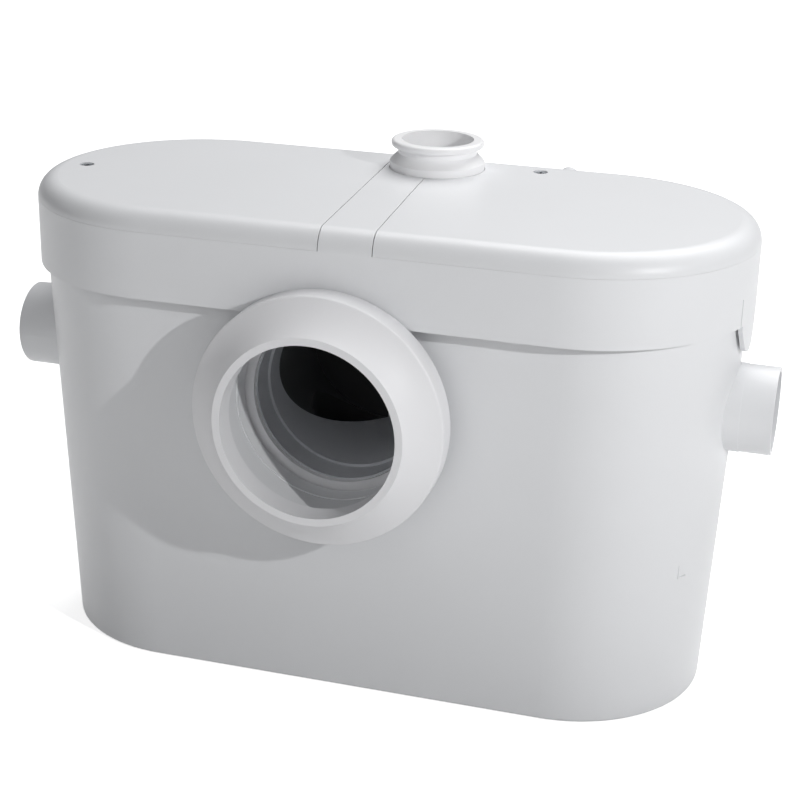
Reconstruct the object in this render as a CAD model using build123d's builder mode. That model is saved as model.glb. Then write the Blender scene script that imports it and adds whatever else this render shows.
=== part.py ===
from build123d import *
from math import cos, radians, sin
import os

# Macerator toilet pump. Lengths are millimetres, X runs along the tub, the pan stands at -Y, Z is up from the floor.

# Driving dimensions of the casing
LID_LENGTH = 430.0
LID_WIDTH = 192.0
LID_TOP = 285.5
SKIRT_BOTTOM = 234.7
LID_EDGE_RADIUS = 12.0
LID_WALL = 2.5
COVER_SEAT = 273.7
DECK_TOP = 271.0
DECK_THICKNESS = 3.0
TUB_BOTTOM_LENGTH = 402.0
TUB_BOTTOM_WIDTH = 161.7
TUB_TOP_LENGTH = 422.6
TUB_TOP_WIDTH = 173.2
TUB_WALL = 3.0
RIM_TOP = 264.5

# Driving dimensions of the pan inlet, which faces -Y
INLET_X = -6.9
INLET_HEIGHT = 180.5
MOUTH_RADIUS = 50.3
MOUTH_LENGTH = 15.0
SLEEVE_FACE_RADIUS = 54.6
SLEEVE_BAND_RADIUS = 73.0
SLEEVE_BAND_WIDTH = 15.2
SLEEVE_CONE_LENGTH = 16.0
INLET_RING_BORE = 56.5
INLET_RING_WALL = 3.0
CHUTE_BORE = 50.0
CHUTE_WALL = 2.5

# Driving dimensions of the side inlets and the discharge stub
SIDE_HEIGHT = 177.5
SIDE_RADIUS = 25.5
SIDE_LENGTH = 23.5
SIDE_WALL = 2.5
STUB_X = 11.1
STUB_Y = 62.9
STUB_TOP = 303.1
STUB_BORE = 21.9
STUB_NECK_RADIUS = 24.1
STUB_LIP_RADIUS = 28.3
STUB_COLLAR_RADIUS = 29.0
PIPE_RADIUS = 14.5
PIPE_WALL = 2.5

# Driving dimensions of the pump, the motor and the level switch
MOTOR_X = -112.0
MOTOR_RADIUS = 48.0
MOTOR_WALL = 2.5
MOTOR_HEIGHT = 124.0
SHAFT_RADIUS = 5.0
PUMP_RADIUS = 50.0
PUMP_HEIGHT = 30.0
PUMP_LIFT = 6.0
SUCTION_PLATE = 4.0
BASKET_RADIUS = 62.0
BASKET_HEIGHT = 61.0
BASKET_WALL = 2.5
DROP_X = -21.0
DROP_Y = 0.5
DROP_RADIUS = 28.0
BELL_X = 104.0
BELL_RADIUS = 24.0
BELL_WALL = 2.5
BELL_TOP = 190.0
MEMBRANE_THICKNESS = 1.5
BOX_CLEARANCE = 2.4
BOX_WIDTH = 84.0
BOX_HEIGHT = 44.5
BOX_WALL = 2.5

# Clearances and the overrun that every cut is given
FIT = 0.3
SLEEVE_GAP = 0.8
RUNNING_FIT = 0.05
OVERRUN = 5.0

# Planes whose normal is the way a piece points
inlet_axis = Plane(origin=(INLET_X, 0, INLET_HEIGHT), x_dir=(1, 0, 0), z_dir=(0, -1, 0))
side_axes = {
    "left": Plane(origin=(0, 0, SIDE_HEIGHT), x_dir=(0, -1, 0), z_dir=(-1, 0, 0)),
    "right": Plane(origin=(0, 0, SIDE_HEIGHT), x_dir=(0, 1, 0), z_dir=(1, 0, 0)),
}
stub_axis = Plane(origin=(STUB_X, STUB_Y, 0))
motor_axis = Plane(origin=(MOTOR_X, 0, 0))
drop_axis = Plane(origin=(DROP_X, DROP_Y, 0))
bell_axis = Plane(origin=(BELL_X, 0, 0))


def tube(plane, start, end, outer, inner=0, mode=Mode.ADD):
    """Round bar or tube between two distances along a plane's normal, joined to the part in hand."""
    with BuildSketch(plane.offset(start)) as section:
        Circle(outer)
        if inner > 0:
            Circle(inner, mode=Mode.SUBTRACT)
    extrude(section.sketch, amount=end - start, mode=mode)


def oval(length, width, bottom, top, mode=Mode.ADD):
    """Upright prism on the tub's centre line, straight along X and round at both ends."""
    with BuildSketch(Plane.XY.offset(bottom)) as section:
        SlotOverall(length, width)
    extrude(section.sketch, amount=top - bottom, mode=mode)


def block(x, y, bottom, top, length, width, mode=Mode.ADD):
    """Upright rectangular prism centred on x, y."""
    with BuildSketch(Plane.XY.offset(bottom)) as section:
        with Locations((x, y)):
            Rectangle(length, width)
    extrude(section.sketch, amount=top - bottom, mode=mode)


def rounded_oval(inset):
    """The lid's outside shape, or the shape that lies inset inside it."""
    with BuildPart() as body:
        with BuildSketch(Plane.XY.offset(SKIRT_BOTTOM)):
            SlotOverall(LID_LENGTH - 2 * inset, LID_WIDTH - 2 * inset)
        extrude(amount=LID_TOP - inset - SKIRT_BOTTOM)
        fillet(body.faces().sort_by(Axis.Z)[-1].edges(), LID_EDGE_RADIUS - inset)
    return body.part


def tub_outline(height):
    """Length and width of the tub's outside at a height."""
    rise_share = height / SKIRT_BOTTOM
    length = TUB_BOTTOM_LENGTH + (TUB_TOP_LENGTH - TUB_BOTTOM_LENGTH) * rise_share
    width = TUB_BOTTOM_WIDTH + (TUB_TOP_WIDTH - TUB_BOTTOM_WIDTH) * rise_share
    return length, width


# Places that several pieces share
lid_outside = rounded_oval(0)
lid_inside = rounded_oval(LID_WALL)
DECK_BOTTOM = DECK_TOP - DECK_THICKNESS
RIM_GAP = 0.5
rim_length = LID_LENGTH - 2 * (LID_WALL + RIM_GAP)
rim_width = LID_WIDTH - 2 * (LID_WALL + RIM_GAP)
inlet_ring_radius = INLET_RING_BORE + INLET_RING_WALL
sleeve_back = LID_WIDTH / 2 + SLEEVE_GAP
sleeve_shoulder = sleeve_back + SLEEVE_BAND_WIDTH
sleeve_face = sleeve_shoulder + SLEEVE_CONE_LENGTH
LIP_CHAMFER_LENGTH = 3.0
lip_back = sleeve_face - MOUTH_LENGTH
ring_front = lip_back - LIP_CHAMFER_LENGTH
RING_DEPTH = 13.3
ring_back = tub_outline(INLET_HEIGHT)[1] / 2 - TUB_WALL - RING_DEPTH
side_inner_end = tub_outline(SIDE_HEIGHT)[0] / 2 - TUB_WALL
SIDE_SHOULDER = 5.4
side_shoulder = tub_outline(SIDE_HEIGHT)[0] / 2 + SIDE_SHOULDER
side_reach = tub_outline(SIDE_HEIGHT)[0] / 2 + SIDE_LENGTH
STUB_SHELF_RADIUS = 36.0
STUB_HOLE_GAP = 0.3
stub_hole_radius = STUB_COLLAR_RADIUS + STUB_HOLE_GAP
lid_end_centre = (LID_LENGTH - LID_WIDTH) / 2
pump_bottom = TUB_WALL + PUMP_LIFT
pump_top = pump_bottom + PUMP_HEIGHT
basket_bottom = pump_top + SUCTION_PLATE
basket_top = basket_bottom + BASKET_HEIGHT
box_length = 2 * (BELL_X - INLET_X - CHUTE_BORE - CHUTE_WALL - BOX_CLEARANCE)
box_bottom = BELL_TOP + MEMBRANE_THICKNESS
box_top = box_bottom + BOX_HEIGHT

# Tub
TUB_BOTTOM_EDGE = 2.0
SIDE_STEP = 0.3
RING_STEP = 0.5
RING_STEP_DEPTH = 17.2
WASHER_THICKNESS = 3.8
WASHER_BORE = 51.0
WASHER_GAP = 1.6
ring_seat = ring_back + WASHER_THICKNESS + WASHER_GAP
FOOT_RADIUS = 9.0
FOOT_THICKNESS = 2.0
FOOT_INSET = 16.0
foot_x = TUB_BOTTOM_LENGTH / 2 - TUB_BOTTOM_WIDTH / 2
foot_y = TUB_BOTTOM_WIDTH / 2 - FOOT_INSET
MARK_LENGTH = 6.5
MARK_HEIGHT = 8.5
MARK_STROKE = 0.9
MARK_RAISE = 0.5
MARK_BOTTOM = 86.5
MARK_ANGLE = -35.0
foot_grid = [(x, y) for x in (-foot_x, foot_x) for y in (-foot_y, foot_y)]

with BuildPart() as tub:
    with BuildSketch():
        SlotOverall(TUB_BOTTOM_LENGTH, TUB_BOTTOM_WIDTH)
    with BuildSketch(Plane.XY.offset(SKIRT_BOTTOM)):
        SlotOverall(TUB_TOP_LENGTH, TUB_TOP_WIDTH)
    loft(ruled=True)
    fillet(tub.faces().sort_by(Axis.Z)[0].edges(), TUB_BOTTOM_EDGE)
    # The side inlets, each with a small shoulder that stops the hose
    for side in side_axes.values():
        tube(side, 0, side_reach, SIDE_RADIUS)
        tube(side, 0, side_shoulder, SIDE_RADIUS + SIDE_STEP)
    # The upright rim and the flange that carries the lid
    oval(TUB_TOP_LENGTH, TUB_TOP_WIDTH, SKIRT_BOTTOM, RIM_TOP)
    oval(rim_length, rim_width, RIM_TOP - TUB_WALL, RIM_TOP)
    # The inside
    with BuildSketch(Plane.XY.offset(TUB_WALL)):
        SlotOverall(tub_outline(TUB_WALL)[0] - 2 * TUB_WALL, tub_outline(TUB_WALL)[1] - 2 * TUB_WALL)
    with BuildSketch(Plane.XY.offset(SKIRT_BOTTOM)):
        SlotOverall(TUB_TOP_LENGTH - 2 * TUB_WALL, TUB_TOP_WIDTH - 2 * TUB_WALL)
    loft(ruled=True, mode=Mode.SUBTRACT)
    oval(TUB_TOP_LENGTH - 2 * TUB_WALL, TUB_TOP_WIDTH - 2 * TUB_WALL, SKIRT_BOTTOM, RIM_TOP, Mode.SUBTRACT)
    for side in side_axes.values():
        tube(side, side_inner_end - SIDE_RADIUS, side_reach, SIDE_RADIUS - SIDE_WALL, mode=Mode.SUBTRACT)
    # The shelf that the discharge stub stands on
    with BuildSketch(Plane.XY.offset(RIM_TOP - TUB_WALL)):
        with Locations((STUB_X, STUB_Y)):
            Circle(STUB_SHELF_RADIUS)
        SlotOverall(rim_length, rim_width, mode=Mode.INTERSECT)
    extrude(amount=TUB_WALL)
    tube(stub_axis, RIM_TOP - TUB_WALL - OVERRUN, RIM_TOP, PIPE_RADIUS + FIT, mode=Mode.SUBTRACT)
    # The front ring that the sleeve plugs over, with a small step inside it
    tube(inlet_axis, ring_seat, ring_front, inlet_ring_radius)
    tube(inlet_axis, ring_back + RING_STEP_DEPTH, ring_front, INLET_RING_BORE, mode=Mode.SUBTRACT)
    tube(inlet_axis, ring_seat, ring_front, INLET_RING_BORE - RING_STEP, mode=Mode.SUBTRACT)
    # Pockets for the feet
    with BuildSketch():
        with Locations(*foot_grid):
            Circle(FOOT_RADIUS + FIT)
    extrude(amount=FOOT_THICKNESS, mode=Mode.SUBTRACT)
    # The small moulded corner mark on the right end
    mark_length, mark_width = tub_outline(MARK_BOTTOM)
    mark_centre = (mark_length - mark_width) / 2
    mark_normal = (cos(radians(MARK_ANGLE)), sin(radians(MARK_ANGLE)), 0)
    mark_radius = mark_width / 2 - TUB_WALL / 2
    mark_plane = Plane(
        origin=(mark_centre + mark_normal[0] * mark_radius, mark_normal[1] * mark_radius, MARK_BOTTOM),
        x_dir=(-mark_normal[1], mark_normal[0], 0),
        z_dir=mark_normal,
    )
    with BuildSketch(mark_plane):
        Rectangle(MARK_STROKE, MARK_HEIGHT, align=(Align.MIN, Align.MIN))
        Rectangle(MARK_LENGTH, MARK_STROKE, align=(Align.MIN, Align.MIN))
    extrude(amount=TUB_WALL / 2 + MARK_RAISE)

# Feet, set flush in the tub's bottom
with BuildPart() as rubber_feet:
    with BuildSketch():
        with Locations(*foot_grid):
            Circle(FOOT_RADIUS)
    extrude(amount=FOOT_THICKNESS)

# Pan sleeve
SLEEVE_CONE_HOLLOW = 1.3
SLEEVE_EDGE_RADIUS = 1.5
cone_middle = (
    (sleeve_shoulder + sleeve_face) / 2 - SLEEVE_CONE_HOLLOW,
    (SLEEVE_BAND_RADIUS + SLEEVE_FACE_RADIUS) / 2 - SLEEVE_CONE_HOLLOW,
)
sleeve_section = Plane(origin=(INLET_X, 0, INLET_HEIGHT), x_dir=(0, -1, 0), z_dir=(-1, 0, 0))
with BuildPart() as pan_sleeve:
    with BuildSketch(sleeve_section):
        with BuildLine():
            Polyline(
                (sleeve_face, SLEEVE_FACE_RADIUS),
                (sleeve_face, MOUTH_RADIUS),
                (lip_back, MOUTH_RADIUS),
                (ring_front, INLET_RING_BORE),
                (ring_front, inlet_ring_radius + FIT),
                (sleeve_back, inlet_ring_radius + FIT),
                (sleeve_back, SLEEVE_BAND_RADIUS),
                (sleeve_shoulder, SLEEVE_BAND_RADIUS),
            )
            ThreePointArc(
                (sleeve_shoulder, SLEEVE_BAND_RADIUS),
                cone_middle,
                (sleeve_face, SLEEVE_FACE_RADIUS),
            )
        make_face()
    revolve(axis=Axis((INLET_X, 0, INLET_HEIGHT), (0, -1, 0)))
    outer_edges = pan_sleeve.edges().filter_by(GeomType.CIRCLE)
    outer_edges = outer_edges.filter_by(lambda edge: edge.radius >= SLEEVE_FACE_RADIUS)
    outer_edges = outer_edges.filter_by(lambda edge: -edge.center().Y >= sleeve_back)
    outer_edges = outer_edges.filter_by(lambda edge: edge.radius > inlet_ring_radius + FIT + RING_STEP)
    fillet(outer_edges, SLEEVE_EDGE_RADIUS)

# Washer between the front ring and the chute's flange
with BuildPart() as inlet_washer:
    tube(inlet_axis, ring_back, ring_back + WASHER_THICKNESS, inlet_ring_radius)
    tube(inlet_axis, ring_back, ring_back + WASHER_THICKNESS, WASHER_BORE, mode=Mode.SUBTRACT)

# Inlet chute: a grey barrel with a collar round the ring, cut upright on the slant towards the basket
CHUTE_FLANGE = 2.5
CHUTE_COLLAR = 8.5
CHUTE_COLLAR_WALL = 2.0
CHUTE_STEP = 1.5
CHUTE_STEP_DEPTH = 17.0
CHUTE_BACK = 27.0
SLANT_X = -27.1
SLANT_ANGLE = 52.4
LEG_DIP = 6.0
chute_radius = CHUTE_BORE + CHUTE_WALL
chute_collar_radius = inlet_ring_radius + FIT + CHUTE_COLLAR_WALL
slant_normal = (-sin(radians(SLANT_ANGLE)), cos(radians(SLANT_ANGLE)), 0)
slant_plane = Plane(
    origin=(SLANT_X, 0, 0),
    x_dir=(cos(radians(SLANT_ANGLE)), sin(radians(SLANT_ANGLE)), 0),
    z_dir=slant_normal,
)
with BuildPart() as barrel_front:
    tube(inlet_axis, -CHUTE_BACK - CHUTE_WALL, ring_back - CHUTE_FLANGE, chute_radius)
    split(bisect_by=slant_plane, keep=Keep.BOTTOM)

with BuildPart() as inlet_chute:
    add(barrel_front.part)
    tube(inlet_axis, ring_back - CHUTE_FLANGE, ring_back + CHUTE_COLLAR, chute_collar_radius)
    tube(inlet_axis, ring_back, ring_back + CHUTE_COLLAR, inlet_ring_radius + FIT, mode=Mode.SUBTRACT)
    tube(inlet_axis, ring_back - CHUTE_STEP_DEPTH, ring_back, CHUTE_BORE, mode=Mode.SUBTRACT)
    tube(inlet_axis, -CHUTE_BACK, ring_back, CHUTE_BORE - CHUTE_STEP, mode=Mode.SUBTRACT)

# Drop elbow: the barrel's black rear corner with the leg that drops into the basket
with BuildPart() as drop_elbow:
    tube(inlet_axis, -CHUTE_BACK - CHUTE_WALL, ring_back - CHUTE_FLANGE, chute_radius)
    split(bisect_by=slant_plane, keep=Keep.TOP)
    tube(drop_axis, basket_top - LEG_DIP, INLET_HEIGHT, DROP_RADIUS)
    add(barrel_front.part, mode=Mode.SUBTRACT)
    tube(drop_axis, basket_top - LEG_DIP, INLET_HEIGHT, DROP_RADIUS - CHUTE_WALL, mode=Mode.SUBTRACT)
    tube(inlet_axis, ring_back - CHUTE_STEP_DEPTH, ring_back, CHUTE_BORE, mode=Mode.SUBTRACT)
    tube(inlet_axis, -CHUTE_BACK, ring_back, CHUTE_BORE - CHUTE_STEP, mode=Mode.SUBTRACT)

# Seams between the covers and the lid's centre strip, which widens towards the front
LEFT_SEAM_FRONT = -11.2
LEFT_SEAM_REAR = -21.8
RIGHT_SEAM_FRONT = 19.3
RIGHT_SEAM_REAR = 6.8
SEAM_GAP = 0.5
STRIP_WALL = 2.0
STRIP_DROP = 2.7
half_length = LID_LENGTH / 2 + OVERRUN
half_width = LID_WIDTH / 2 + OVERRUN


def seam_region(side, shift, bottom):
    """Prism over everything on one side of a seam that is moved outwards by shift."""
    if side == "left":
        front_x = LEFT_SEAM_FRONT - shift
        rear_x = LEFT_SEAM_REAR - shift
        far_x = -half_length
    else:
        front_x = RIGHT_SEAM_FRONT + shift
        rear_x = RIGHT_SEAM_REAR + shift
        far_x = half_length
    with BuildPart() as region:
        with BuildSketch(Plane.XY.offset(bottom)):
            with BuildLine():
                Polyline(
                    (far_x, -half_width),
                    (front_x, -half_width),
                    (rear_x, half_width),
                    (far_x, half_width),
                    close=True,
                )
            make_face()
        extrude(amount=LID_TOP + OVERRUN - bottom)
    return region.part


cover_rooms = {side: seam_region(side, 0, COVER_SEAT) for side in side_axes}
deck_pockets = {side: lid_inside & seam_region(side, 0, DECK_TOP) for side in side_axes}
strip_hollow = (
    lid_inside - seam_region("left", -STRIP_WALL, SKIRT_BOTTOM) - seam_region("right", -STRIP_WALL, SKIRT_BOTTOM)
)
with BuildPart() as strip_room:
    add(strip_hollow)
    split(bisect_by=Plane.XY.offset(DECK_TOP), keep=Keep.TOP)

# Latch tongues in the skirt's ends
LATCH_ANGLE = -7.2
LATCH_WIDTH = 33.4
LATCH_SLIT = 0.8
LATCH_ROOT = 250.7
LATCH_BOTTOM = 216.0
LATCH_TIP_RADIUS = 10.0
TONGUE_WIDTH = 29.0
TONGUE_SHOULDER = 3.0
LATCH_TOP_GAP = 0.05


def latch_plane(side):
    """Plane on the axis of a lid end that looks out through the middle of the latch."""
    sign = 1 if side == "right" else -1
    normal = (sign * cos(radians(LATCH_ANGLE)), sin(radians(LATCH_ANGLE)), 0)
    return Plane(
        origin=(sign * lid_end_centre, 0, 0),
        x_dir=(-normal[1], normal[0], 0),
        z_dir=normal,
    )


latches = {}
for side in side_axes:
    with BuildPart() as latch:
        with BuildSketch(Plane.XY.offset(LATCH_BOTTOM)) as latch_ring:
            SlotOverall(LID_LENGTH, LID_WIDTH)
            SlotOverall(LID_LENGTH - 2 * LID_WALL, LID_WIDTH - 2 * LID_WALL, mode=Mode.SUBTRACT)
        extrude(amount=LATCH_ROOT - LATCH_TOP_GAP - LATCH_BOTTOM)
        with BuildSketch(latch_plane(side)):
            with Locations((0, SKIRT_BOTTOM)):
                Rectangle(TONGUE_WIDTH, 2 * TONGUE_SHOULDER)
            with Locations((0, LATCH_BOTTOM + LATCH_TIP_RADIUS)):
                Circle(LATCH_TIP_RADIUS)
            make_hull()
            with Locations((0, (LATCH_ROOT + SKIRT_BOTTOM) / 2)):
                Rectangle(LATCH_WIDTH, LATCH_ROOT - SKIRT_BOTTOM)
        extrude(amount=LID_WIDTH, mode=Mode.INTERSECT)
    latches[side] = latch

# Lid
LEFT_OPENING_X = -102.0
RIGHT_OPENING_X = 114.0
LEFT_OPENING_LENGTH = 148.0
RIGHT_OPENING_LENGTH = 132.0
OPENING_WIDTH = 124.0
OPENING_CORNER = 30.0
LEFT_SCREW = (-189.7, -7.4)
RIGHT_SCREW = (73.4, 73.7)
SCREW_HEAD_RADIUS = 4.3
SCREW_HEAD_HEIGHT = 2.6
SCREW_RECESS = 0.7
SCREW_RADIUS = 2.0
SCREW_GAP = 0.2
SCREW_LENGTH = 22.0
FILTER_X = 0.1
FILTER_Y = -32.0
FILTER_RADIUS = 10.0
ARCH_GAP = 0.6
GUIDE_WALL = 2.0
openings = ((LEFT_OPENING_X, LEFT_OPENING_LENGTH), (RIGHT_OPENING_X, RIGHT_OPENING_LENGTH))
with BuildPart() as lid:
    add(lid_outside)
    for side in side_axes:
        add(cover_rooms[side], mode=Mode.SUBTRACT)
        add(deck_pockets[side], mode=Mode.SUBTRACT)
    add(strip_room.part, mode=Mode.SUBTRACT)
    oval(LID_LENGTH - 2 * LID_WALL, LID_WIDTH - 2 * LID_WALL, SKIRT_BOTTOM, DECK_BOTTOM, Mode.SUBTRACT)
    # The access openings
    with BuildSketch(Plane.XY.offset(DECK_BOTTOM)):
        for centre_x, length in openings:
            with Locations((centre_x, 0)):
                RectangleRounded(length, OPENING_WIDTH, OPENING_CORNER)
    extrude(amount=DECK_THICKNESS, mode=Mode.SUBTRACT)
    # Holes for the stub, the filter and the screws
    tube(stub_axis, SKIRT_BOTTOM, LID_TOP, stub_hole_radius, mode=Mode.SUBTRACT)
    with BuildSketch(Plane.XY.offset(DECK_BOTTOM)):
        with Locations((FILTER_X, FILTER_Y)):
            Circle(FILTER_RADIUS + FIT)
        with Locations(LEFT_SCREW, RIGHT_SCREW):
            Circle(SCREW_RADIUS + SCREW_GAP)
    extrude(amount=DECK_THICKNESS, mode=Mode.SUBTRACT)
    # The arch over the front ring and the slots round the latches
    tube(inlet_axis, 0, LID_WIDTH, inlet_ring_radius + ARCH_GAP, mode=Mode.SUBTRACT)
    for side in side_axes:
        with BuildSketch(latch_plane(side)):
            with Locations((0, (LATCH_ROOT + SKIRT_BOTTOM) / 2)):
                Rectangle(LATCH_WIDTH + 2 * LATCH_SLIT, LATCH_ROOT - SKIRT_BOTTOM)
        extrude(amount=LID_WIDTH, mode=Mode.SUBTRACT)

# Lid gasket on the tub's rim, with a loop round the stub
GASKET_WIDTH = 4.0
GASKET_INSET = 1.5
STUB_LOOP_GAP = 1.0
with BuildPart() as lid_gasket:
    with BuildSketch(Plane.XY.offset(RIM_TOP)):
        with Locations((STUB_X, STUB_Y)):
            Circle(stub_hole_radius + STUB_LOOP_GAP + GASKET_WIDTH)
        SlotOverall(rim_length - 2 * GASKET_INSET, rim_width - 2 * GASKET_INSET, mode=Mode.INTERSECT)
    extrude(amount=DECK_BOTTOM - RIM_TOP)
    with BuildSketch(Plane.XY.offset(RIM_TOP)):
        SlotOverall(rim_length - 2 * GASKET_INSET, rim_width - 2 * GASKET_INSET)
        SlotOverall(
            rim_length - 2 * (GASKET_INSET + GASKET_WIDTH),
            rim_width - 2 * (GASKET_INSET + GASKET_WIDTH),
            mode=Mode.SUBTRACT,
        )
    extrude(amount=DECK_BOTTOM - RIM_TOP)
    tube(stub_axis, RIM_TOP, DECK_BOTTOM, stub_hole_radius + STUB_LOOP_GAP, mode=Mode.SUBTRACT)

# Cable gland: a bush that stands on the deck and looks out over the rear of the skirt
GLAND_X = 87.0
GLAND_HEIGHT = 278.2
GLAND_RADIUS = 4.2
GLAND_BORE = 3.2
GLAND_LENGTH = 16.0
GLAND_FOOT = 6.0
GLAND_PROUD = 2.0
gland_axis = Plane(origin=(GLAND_X, LID_WIDTH / 2 + GLAND_PROUD, GLAND_HEIGHT), x_dir=(1, 0, 0), z_dir=(0, -1, 0))
gland_foot_y = LID_WIDTH / 2 - LID_WALL - GLAND_FOOT
with BuildPart() as cable_gland:
    block(GLAND_X, gland_foot_y, DECK_TOP, GLAND_HEIGHT, 2 * GLAND_RADIUS, GLAND_FOOT)
    tube(gland_axis, 0, GLAND_LENGTH, GLAND_RADIUS)
    tube(gland_axis, 0, GLAND_LENGTH, GLAND_BORE, mode=Mode.SUBTRACT)

# Access covers
CREASE_GAP = 0.1
BOSS_RADIUS = 6.5
POST_RADIUS = 4.0
HUMP_WALL = 2.0
COVER_POST_INSET = 15.0
post_x = LID_LENGTH / 2 - LID_EDGE_RADIUS - COVER_POST_INSET
post_y = LID_WIDTH / 2 - LID_EDGE_RADIUS - POST_RADIUS
hump_room = GLAND_RADIUS + FIT
hump_radius = hump_room + HUMP_WALL
cover_posts = {
    "left": ((LEFT_OPENING_X, post_y), (LEFT_OPENING_X, -post_y)),
    "right": ((RIGHT_OPENING_X + BOSS_RADIUS, post_y), (RIGHT_OPENING_X, -post_y), (post_x, 0)),
}
screws = {"left": LEFT_SCREW, "right": RIGHT_SCREW}
cover_shells = {side: lid_outside & seam_region(side, SEAM_GAP, COVER_SEAT + CREASE_GAP) for side in side_axes}
with BuildPart() as hump:
    tube(gland_axis, GLAND_PROUD, GLAND_LENGTH + FIT + HUMP_WALL, hump_radius)
    split(bisect_by=Plane.XY.offset(COVER_SEAT + CREASE_GAP), keep=Keep.TOP)

covers = {}
for side in side_axes:
    with BuildPart() as cover:
        add(cover_shells[side])
        add(lid_inside, mode=Mode.SUBTRACT)
        # The screw boss and the posts that stand on the deck
        with BuildSketch(Plane.XY.offset(DECK_TOP)):
            with Locations(screws[side]):
                Circle(BOSS_RADIUS)
            with Locations(*cover_posts[side]):
                Circle(POST_RADIUS)
        extrude(amount=LID_TOP - LID_WALL / 2 - DECK_TOP)
        if side == "right":
            add(hump.part)
            tube(gland_axis, 0, GLAND_LENGTH + FIT, hump_room, mode=Mode.SUBTRACT)
            notch_y = LID_WIDTH / 2 - GLAND_LENGTH / 2
            block(GLAND_X, notch_y, DECK_TOP, GLAND_HEIGHT, 2 * hump_room, 2 * GLAND_LENGTH, Mode.SUBTRACT)
        screw_axis = Plane(origin=(screws[side][0], screws[side][1], LID_TOP))
        head_room = SCREW_HEAD_HEIGHT + SCREW_RECESS
        tube(screw_axis, -head_room, OVERRUN, SCREW_HEAD_RADIUS + SCREW_GAP, mode=Mode.SUBTRACT)
        tube(screw_axis, DECK_TOP - LID_TOP, 0, SCREW_RADIUS + SCREW_GAP, mode=Mode.SUBTRACT)
        tube(stub_axis, COVER_SEAT, LID_TOP + OVERRUN, stub_hole_radius, mode=Mode.SUBTRACT)
    covers[side] = cover

# Cover screws with a cross recess
CROSS_LENGTH = 4.6
CROSS_WIDTH = 1.2
CROSS_DEPTH = 1.4
cover_screws = {}
for side, (screw_x, screw_y) in screws.items():
    screw_axis = Plane(origin=(screw_x, screw_y, LID_TOP - SCREW_RECESS))
    with BuildPart() as screw:
        tube(screw_axis, -SCREW_HEAD_HEIGHT, 0, SCREW_HEAD_RADIUS)
        tube(screw_axis, -SCREW_LENGTH, -SCREW_HEAD_HEIGHT, SCREW_RADIUS)
        with BuildSketch(screw_axis):
            Rectangle(CROSS_LENGTH, CROSS_WIDTH)
            Rectangle(CROSS_WIDTH, CROSS_LENGTH)
        extrude(amount=-CROSS_DEPTH, mode=Mode.SUBTRACT)
    cover_screws[side] = screw

# Carbon vent filter, hung by its flange in the deck under the centre strip
FILTER_DEPTH = 22.0
FILTER_FLANGE_RADIUS = 12.0
FILTER_FLANGE = 2.0
FILTER_CORE = 8.0
filter_axis = Plane(origin=(FILTER_X, FILTER_Y, DECK_TOP))
with BuildPart() as carbon_filter:
    tube(filter_axis, 0, FILTER_FLANGE, FILTER_FLANGE_RADIUS)
    tube(filter_axis, -FILTER_DEPTH, 0, FILTER_RADIUS)
    tube(filter_axis, 0, FILTER_FLANGE, FILTER_CORE, mode=Mode.SUBTRACT)

# Discharge stub: grip lip, neck, shoulder and collar above, valve chamber and tail below
STUB_LIP_HEIGHT = 4.4
STUB_LIP_ROUND = 1.9
STUB_COLLAR_HEIGHT = 4.4
STUB_SHOULDER_HEIGHT = 5.0
SOCKET_DEPTH = 16.0
CHAMBER_RADIUS = 20.5
TAIL_LENGTH = 26.5
STUB_FLOOR = 2.5
CORE_OUTER = 26.3
CORE_INNER = 23.3
CORE_HEIGHT = 17.0
collar_top = LID_TOP + STUB_COLLAR_HEIGHT
stub_section = Plane(origin=(STUB_X, STUB_Y, 0), x_dir=(1, 0, 0), z_dir=(0, -1, 0))
FLAP_PIN_RADIUS = 1.0
FLAP_THICKNESS = 2.0
DISCHARGE_FLAP_RADIUS = 15.0
DISCHARGE_HINGE = 16.8
LUG_WIDTH = 2.0
LUG_PLACE = 8.0
LUG_HEIGHT = 5.0
KNUCKLE_WALL = 0.9
valve_floor = RIM_TOP + STUB_FLOOR
knuckle_radius = FLAP_PIN_RADIUS + KNUCKLE_WALL
hinge_height = valve_floor + FIT + knuckle_radius
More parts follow.
